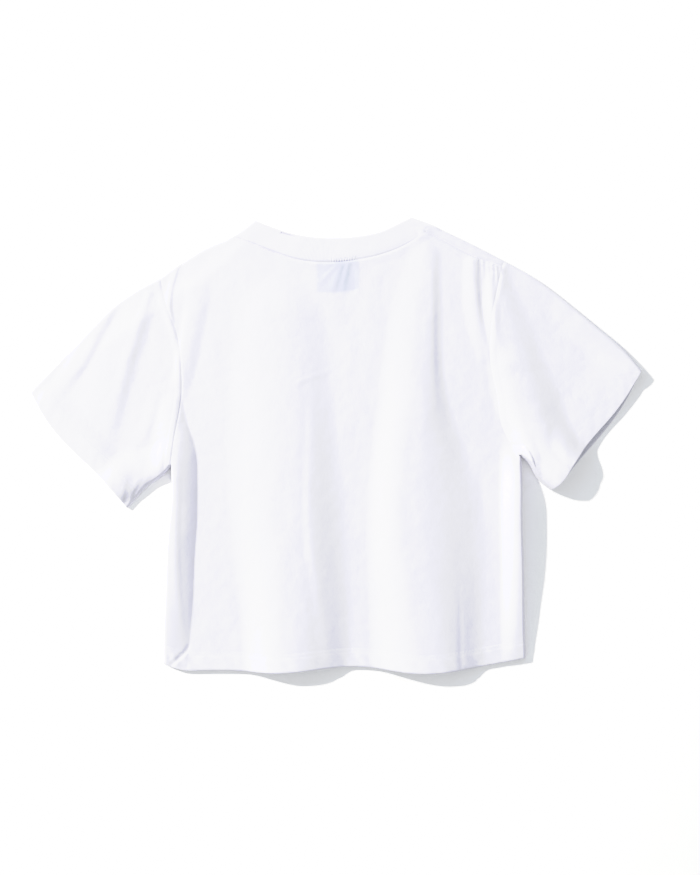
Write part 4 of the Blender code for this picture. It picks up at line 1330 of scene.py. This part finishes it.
shares = np.linspace(0, 1, ROLL_COLUMNS + 1)
shoulder_edge = evenly(RIGHT_SHOULDER_EDGE, shares)
shoulder_seam = evenly(RIGHT_SHOULDER_SEAM, shares)
inward = (np.array(ROLL_ROWS) / ROLL_ROWS[-1])[::-1, None, None]
strip = beside(shoulder_seam, EDGE_ROOM)[None] * inward + shoulder_edge[None] * (1 - inward)
roll = lifted(strip, lambda at: upper(at, edge_height(at)))
half = np.full(roll.shape[:2], WALL / 2)
front = cloth(
    "front_panel",
    [wall(plate, *jersey_wall(plate, [front_hem])) for plate in plates] + [wall(roll, half, half)],
    BODY_JERSEY,
    show_through=[np.zeros(plate.shape[:2]) for plate in plates] + [0 * half],
    doubled=[doubled_mark(in_plan(plate), [front_hem]) for plate in plates] + [0 * half],
)
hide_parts("front")
front_top = [shoulders[1][::-1], neckline[::-1], shoulders[0][::-1]]
front_area = area_of(np.concatenate([front_hem, right_line, *front_top, left_line[::-1]]))
front_area += area_of(np.concatenate([shoulder_edge, shoulder_seam[::-1]]))
print("the front covers", round(front_area, 4), "square metres")

# %% [markdown]
# ## The sleeves
#
# A sleeve is a short tube, flattened by lying down: it has a folded edge along its top and another
# under the arm, and its cuff is turned up like the hem. Its grid is therefore a ring, with the
# upper layer from one fold to the other and the lower layer back again, so the cloth runs round
# each fold with no break.

# %% The sleeves
SLEEVE_ROWS = 72
SLEEVE_COLUMNS = ((4.8, 0.6), (188, 2.1), (None, 0.6))
CUFF_START = 20.6  # where the even rows end, from the cuff's edge
CUFF_ROWS = (20, 19.6, 19, 18.4, 17.8, 17, 16.2, 15.4, 13, 10, 7, 4, 2, 1, 0.6, 0.3, 0.1, 0)


def sleeve(name, seam, armpit_first, folds, cuffs, look):
    """A sleeve tube, from its two folded edges and the cuff's edge in its upper and lower layer."""
    layers = []
    for cuff in cuffs:
        u = spaced(length_of(seam), *SLEEVE_COLUMNS)
        start = beside(evenly(seam, u), EDGE_ROOM if armpit_first else -EDGE_ROOM)
        length = sum(length_of(fold) for fold in folds) / 2
        even_rows = np.linspace(0, 1 - CUFF_START / length, SLEEVE_ROWS)
        v = np.concatenate([even_rows, 1 - np.array(CUFF_ROWS) / length])
        first, last = (evenly(fold, v) for fold in folds)
        start[0], start[-1] = first[0], last[0]
        layers.append(coons(start, evenly(cuff, u), first, last, u, v))
    lines = [dense(fold) for fold in folds]
    rims = [layer[-1] for layer in layers]
    top = lifted(layers[0], lambda at: upper(at, edge_height(at)))
    bottom = lifted(layers[1], lambda at: lower(at, edge_height(at), lines, hems=rims[1:]))
    ring = np.concatenate([top, bottom[:, -2:0:-1]], axis=1)
    at = in_plan(ring)
    made = cloth(
        name,
        [wall(ring, *jersey_wall(ring, rims), ring=True)],
        look,
        show_through=[np.zeros(len(at))],
        doubled=[doubled_mark(at, rims)],
    )
    flat = layers[0]
    outline = np.concatenate([flat[0], flat[:, -1], flat[-1, ::-1], flat[::-1, 0]])
    return made, 2 * area_of(outline)


left_sleeve, left_sleeve_area = sleeve(
    "left_sleeve",
    LEFT_ARMHOLE,
    True,
    (LEFT_UNDERARM, LEFT_SLEEVE_TOP),
    (LEFT_CUFF[::-1], LEFT_CUFF[::-1]),
    LEFT_JERSEY,
)
right_sleeve, right_sleeve_area = sleeve(
    "right_sleeve",
    RIGHT_ARMHOLE[::-1],
    False,
    (RIGHT_SLEEVE_TOP, RIGHT_UNDERARM),
    (RIGHT_CUFF, RIGHT_LOWER_CUFF),
    RIGHT_JERSEY,
)
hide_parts("sleeve_left")
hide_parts("sleeve_right")
print("the sleeves have", round(left_sleeve_area, 4), "and", round(right_sleeve_area, 4), "m2")

# %% [markdown]
# ## The neckband
#
# The band is a strip of rib, folded lengthwise and sewn on as a ring. Its ribs are real here: each
# is a low swell of the outer face alone, over a plain inside, because a rib's shade along a curved
# band is what tells rib from jersey. A bump map would do for the panels' finer knit, but not for
# this.

# %% The neckband
RIB_PITCH = 1.5
RIB_STEPS = 4  # points along each rib
RIB_START = 3.0  # how far from its seam the band has its full ribs
BAND_ROWS = np.array([0, 0.4, 0.9, 1.6, 2.6, 3.8, 5.2, 8, 11, 14, 17, 19.2, 20.4, 21.2, 21.7, 22])
CORNER_SAMPLES = 12
GATHER_HEIGHT = 0.3
GATHER_PITCH = 2.7
GATHER_REACH = 6.0
GATHER_FADE = 4.0
GATHERED = (-8.0, 21.0)  # the stretch in x over the label, where the band is gathered
BAND_THICKENS = 5.0  # how far from its seam the band has its full wall

corner_step = np.linspace(BACK_NECK[-1], RIGHT_SHOULDER_EDGE[0], CORNER_SAMPLES)
band_seam = joined(dense(BACK_NECK, NECK_SAMPLES), corner_step)


def band_gathers(at):
    """Over the label the band is drawn in by the label's own stitches."""
    distance = distance_to(at, [band_seam])
    x = at[:, 0]
    inside = smooth((x - GATHERED[0]) / GATHER_FADE) * smooth((GATHERED[1] - x) / GATHER_FADE)
    inside = inside * smooth(1 - distance / GATHER_REACH)
    return GATHER_HEIGHT * inside * np.cos(x / GATHER_PITCH * math.tau)


def band_edge_height(at):
    """The band's folds lie level, and rise at the neck corners to meet the shoulders."""
    return np.maximum(BAND_EDGE_Z, edge_height(at))


def band_layer(line, free_edge):
    """One half of the band, with rows from its seam to its free edge and columns along its ribs."""
    ribs = round(run_of(line)[-1] / RIB_PITCH)
    shares = np.linspace(0, 1, ribs * RIB_STEPS + 1)
    start = beside(read_shares(line, shares), EDGE_ROOM)
    free = evenly(free_edge, shares)
    depth = (BAND_ROWS / BAND_ROWS[-1])[:, None, None]
    return start[None] * (1 - depth) + free[None] * depth


back_half = band_layer(band_seam, BACK_BAND_EDGE)
front_half = band_layer(dense(FRONT_NECK, NECK_SAMPLES), FRONT_BAND_EDGE)
band_folds = [back_half[:, 0], back_half[:, -1]]
top = lifted(back_half, lambda at: upper(at, band_edge_height(at), band_gathers(at)))
bottom = lifted(front_half, lambda at: lower(at, band_edge_height(at), band_folds, BAND_LOWER_Z))
bottom[:, [0, -1]] = top[:, [0, -1]]
ring = np.concatenate([top, bottom[:, -2:0:-1]], axis=1)
from_fold = (BAND_ROWS[-1] - BAND_ROWS) / (RIB_WALL / 2)  # in half walls
closing = np.maximum(quarter_round(from_fold), THINNEST)
half = (RIB_WALL / 2 * closing)[:, None] * np.ones(ring.shape[1])
# At its seam the band is as thick as the jersey, and there and on its fold the ribs fade out.
seam_share = smooth(BAND_ROWS / BAND_THICKENS)[:, None]
outer = half * seam_share + WALL / 2 * (1 - seam_share)
phase = np.arange(ring.shape[1]) * math.tau / RIB_STEPS
fading = smooth(from_fold / 2) * smooth(BAND_ROWS / RIB_START)
raised = RIB_DEPTH * np.cos(phase)[None] * fading[:, None]
band = cloth(
    "rib_band",
    [wall(ring, outer + raised, half, ring=True)],
    RIB,
    show_through=[0 * raised],
    doubled=[0 * raised],
)
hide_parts("neckband")

# %% [markdown]
# ## The label
#
# A small woven tab hangs from the neck seam inside the back. It stays bare. It is made from the
# back's own surface, moved down by half of both walls and a small gap, so it follows every wave
# above it.

# %% The label
LABEL_WALL = 0.5
LABEL_GAP = 0.25
LABEL_CELLS = (44, 32)
LABEL_HANG = 1.0  # how far below the seam it starts

across_label = LABEL_CENTRE_X + LABEL_WIDTH * (np.linspace(0, 1, LABEL_CELLS[0] + 1) - 0.5)
hang = np.column_stack([across_label, y_at(NECK_LINE, across_label) - LABEL_HANG])
down = np.linspace(LABEL_LENGTH, 0, LABEL_CELLS[1] + 1)
plan = hang[None] - np.stack([0 * down, down], axis=1)[:, None]
under = WALL / 2 + LABEL_GAP + LABEL_WALL / 2
sheet = lifted(plan, lambda at: upper(at, EDGE_Z + 0 * at[:, 0]) - under)
half = np.full(sheet.shape[:2], LABEL_WALL / 2)
label = cloth("neck_label_tab", [wall(sheet, half, half)], SATIN)
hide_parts("neck_label")

# %% [markdown]
# ## Stitches
#
# The hem and cuffs are held by two rows of stitches, the right shoulder by one, and short ones hold
# the label. Each stitch is a short round thread that rises out of the cloth and dives back in. A
# row of them is one mesh, made by a loop from the same height as the cloth under it, so the thread
# follows each fold.

# %% Threads
STITCH_LENGTH = 2.7
STITCH_GAP = 0.55
THREAD_RADIUS = 0.2
THREAD_SIDES = 6
# Along a stitch, how high the middle of the thread lies over the cloth, and how thick it is.
ARCH = (-0.22, 0.06, 0.12, 0.06, -0.22)
TAPER = (0.55, 1.0, 1.0, 1.0, 0.55)


def face_above(at):
    """The garment's upper face at plan points."""
    return upper(at, edge_height(at)) + WALL / 2


def face_below(at):
    """Where a thread lies in the groove under the lower layer, just clear of the table."""
    return np.full(len(at), THREAD_RADIUS + max(ARCH))


def stitch_lines(line):
    """The start and end of each stitch along a line."""
    along = run_of(line)[-1]
    starts = np.arange(STITCH_GAP, along - STITCH_LENGTH, STITCH_LENGTH + STITCH_GAP)
    return read_at(line, starts), read_at(line, starts + STITCH_LENGTH)


def sew(name, stitches):
    """One mesh of stitches: each has two ends, the face it lies on, and 1 for up or -1 for down."""
    corners, faces = [], []
    rings = len(ARCH)
    turns = np.arange(THREAD_SIDES) * math.tau / THREAD_SIDES
    for first, last, face, up in stitches:
        base = len(corners)
        middle = first + (last - first) * np.linspace(0, 1, rings)[:, None]
        z = face(middle) + up * np.array(ARCH)
        run = (last - first) / np.linalg.norm(last - first)
        side = np.array([-run[1], run[0], 0.0])
        for place, level, share in zip(middle, z, TAPER):
            for turn_at in turns:
                offset = side * math.cos(turn_at) + np.array([0, 0, math.sin(turn_at)])
                corners.append(np.array([*place, level]) + offset * THREAD_RADIUS * share)
        for ring in range(rings - 1):
            for k in range(THREAD_SIDES):
                a = base + ring * THREAD_SIDES + k
                b = base + ring * THREAD_SIDES + (k + 1) % THREAD_SIDES
                faces.append((a, a + THREAD_SIDES, b + THREAD_SIDES, b))
        end = base + (rings - 1) * THREAD_SIDES
        faces.append(tuple(range(base, base + THREAD_SIDES)))
        faces.append(tuple(reversed(range(end, end + THREAD_SIDES))))
    mesh = bpy.data.meshes.new(name)
    mesh.from_pydata((np.array(corners) * MM).tolist(), [], faces)
    mesh.shade_smooth()
    mesh.materials.append(THREAD)
    made = placed(name, mesh)
    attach(made, "root")
    print(name, "has", len(stitches), "stitches")
    return made


# %% The rows of stitches
ROW_SAMPLES = 400
TRIMMED_SAMPLES = 300
HEM_END, FRONT_HEM_END, CUFF_END = 3, 5, 8  # how far from its corners each row starts and stops
SHOULDER_ROW = 2.2  # how far from its seam the shoulder's row runs
SHOULDER_END = 3
ABOVE = (face_above, 1)
BELOW = (face_below, -1)


def trimmed(line, margin):
    """A line without its two ends."""
    return read_at(line, np.linspace(margin, run_of(line)[-1] - margin, TRIMMED_SAMPLES))


def row_of(line, layer=ABOVE):
    """The stitches of one row."""
    return [(first, last, *layer) for first, last in zip(*stitch_lines(line))]


def hem_rows(knots, side, margin, layer=ABOVE):
    """Both rows of stitches inside a turned-up edge."""
    line = dense(knots, ROW_SAMPLES)
    rows = [trimmed(beside(line, side * row), margin) for row in STITCH_ROWS]
    return [stitch for row in rows for stitch in row_of(row, layer)]


hem_stitches = sew("hem_stitches", hem_rows(BACK_HEM, 1, HEM_END))
front_hem_stitches = sew("front_hem_stitches", hem_rows(FRONT_HEM, 1, FRONT_HEM_END, BELOW))
left_cuff_stitches = sew(
    "left_cuff_stitches",
    hem_rows(LEFT_CUFF, 1, CUFF_END) + hem_rows(LEFT_CUFF, 1, CUFF_END, BELOW),
)
right_cuff_stitches = sew(
    "right_cuff_stitches",
    hem_rows(RIGHT_CUFF, -1, CUFF_END) + hem_rows(RIGHT_LOWER_CUFF, -1, CUFF_END, BELOW),
)
shoulder_row = trimmed(beside(shoulder_seam, -SHOULDER_ROW), SHOULDER_END)
shoulder_stitches = sew("shoulder_stitches", row_of(shoulder_row))

# %% The label's stitches
TICKED = (-1.0, 21.0)  # the stretch in x over the label
TICK_PITCH = 2.6
TICK_REACH = (0.6, 5.2)  # how far from the seam a stitch starts and ends on the band
TICK_LEAN = 0.3


def face_of_band(at):
    """The band's upper face, which thickens from the seam."""
    distance = distance_to(at, [band_seam])
    wall_above = WALL / 2 + (RIB_WALL - WALL) / 2 * smooth(distance / BAND_THICKENS)
    return upper(at, band_edge_height(at), band_gathers(at)) + wall_above


ticks = []
for x in np.arange(*TICKED, TICK_PITCH):
    foot, head = y_at(NECK_LINE, x) + np.array(TICK_REACH)
    ticks.append((np.array([x, foot]), np.array([x + TICK_LEAN, head]), face_of_band, 1))
label_stitches = sew("label_stitches", ticks)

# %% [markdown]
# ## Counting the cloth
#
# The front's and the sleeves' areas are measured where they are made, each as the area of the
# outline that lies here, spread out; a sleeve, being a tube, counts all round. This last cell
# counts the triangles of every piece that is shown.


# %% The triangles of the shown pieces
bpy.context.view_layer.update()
shown = [piece for piece in bpy.data.objects if piece.type == "MESH" and not piece.hide_render]
print("the cloth has", sum(len(piece.data.polygons) * 2 for piece in shown), "triangles")
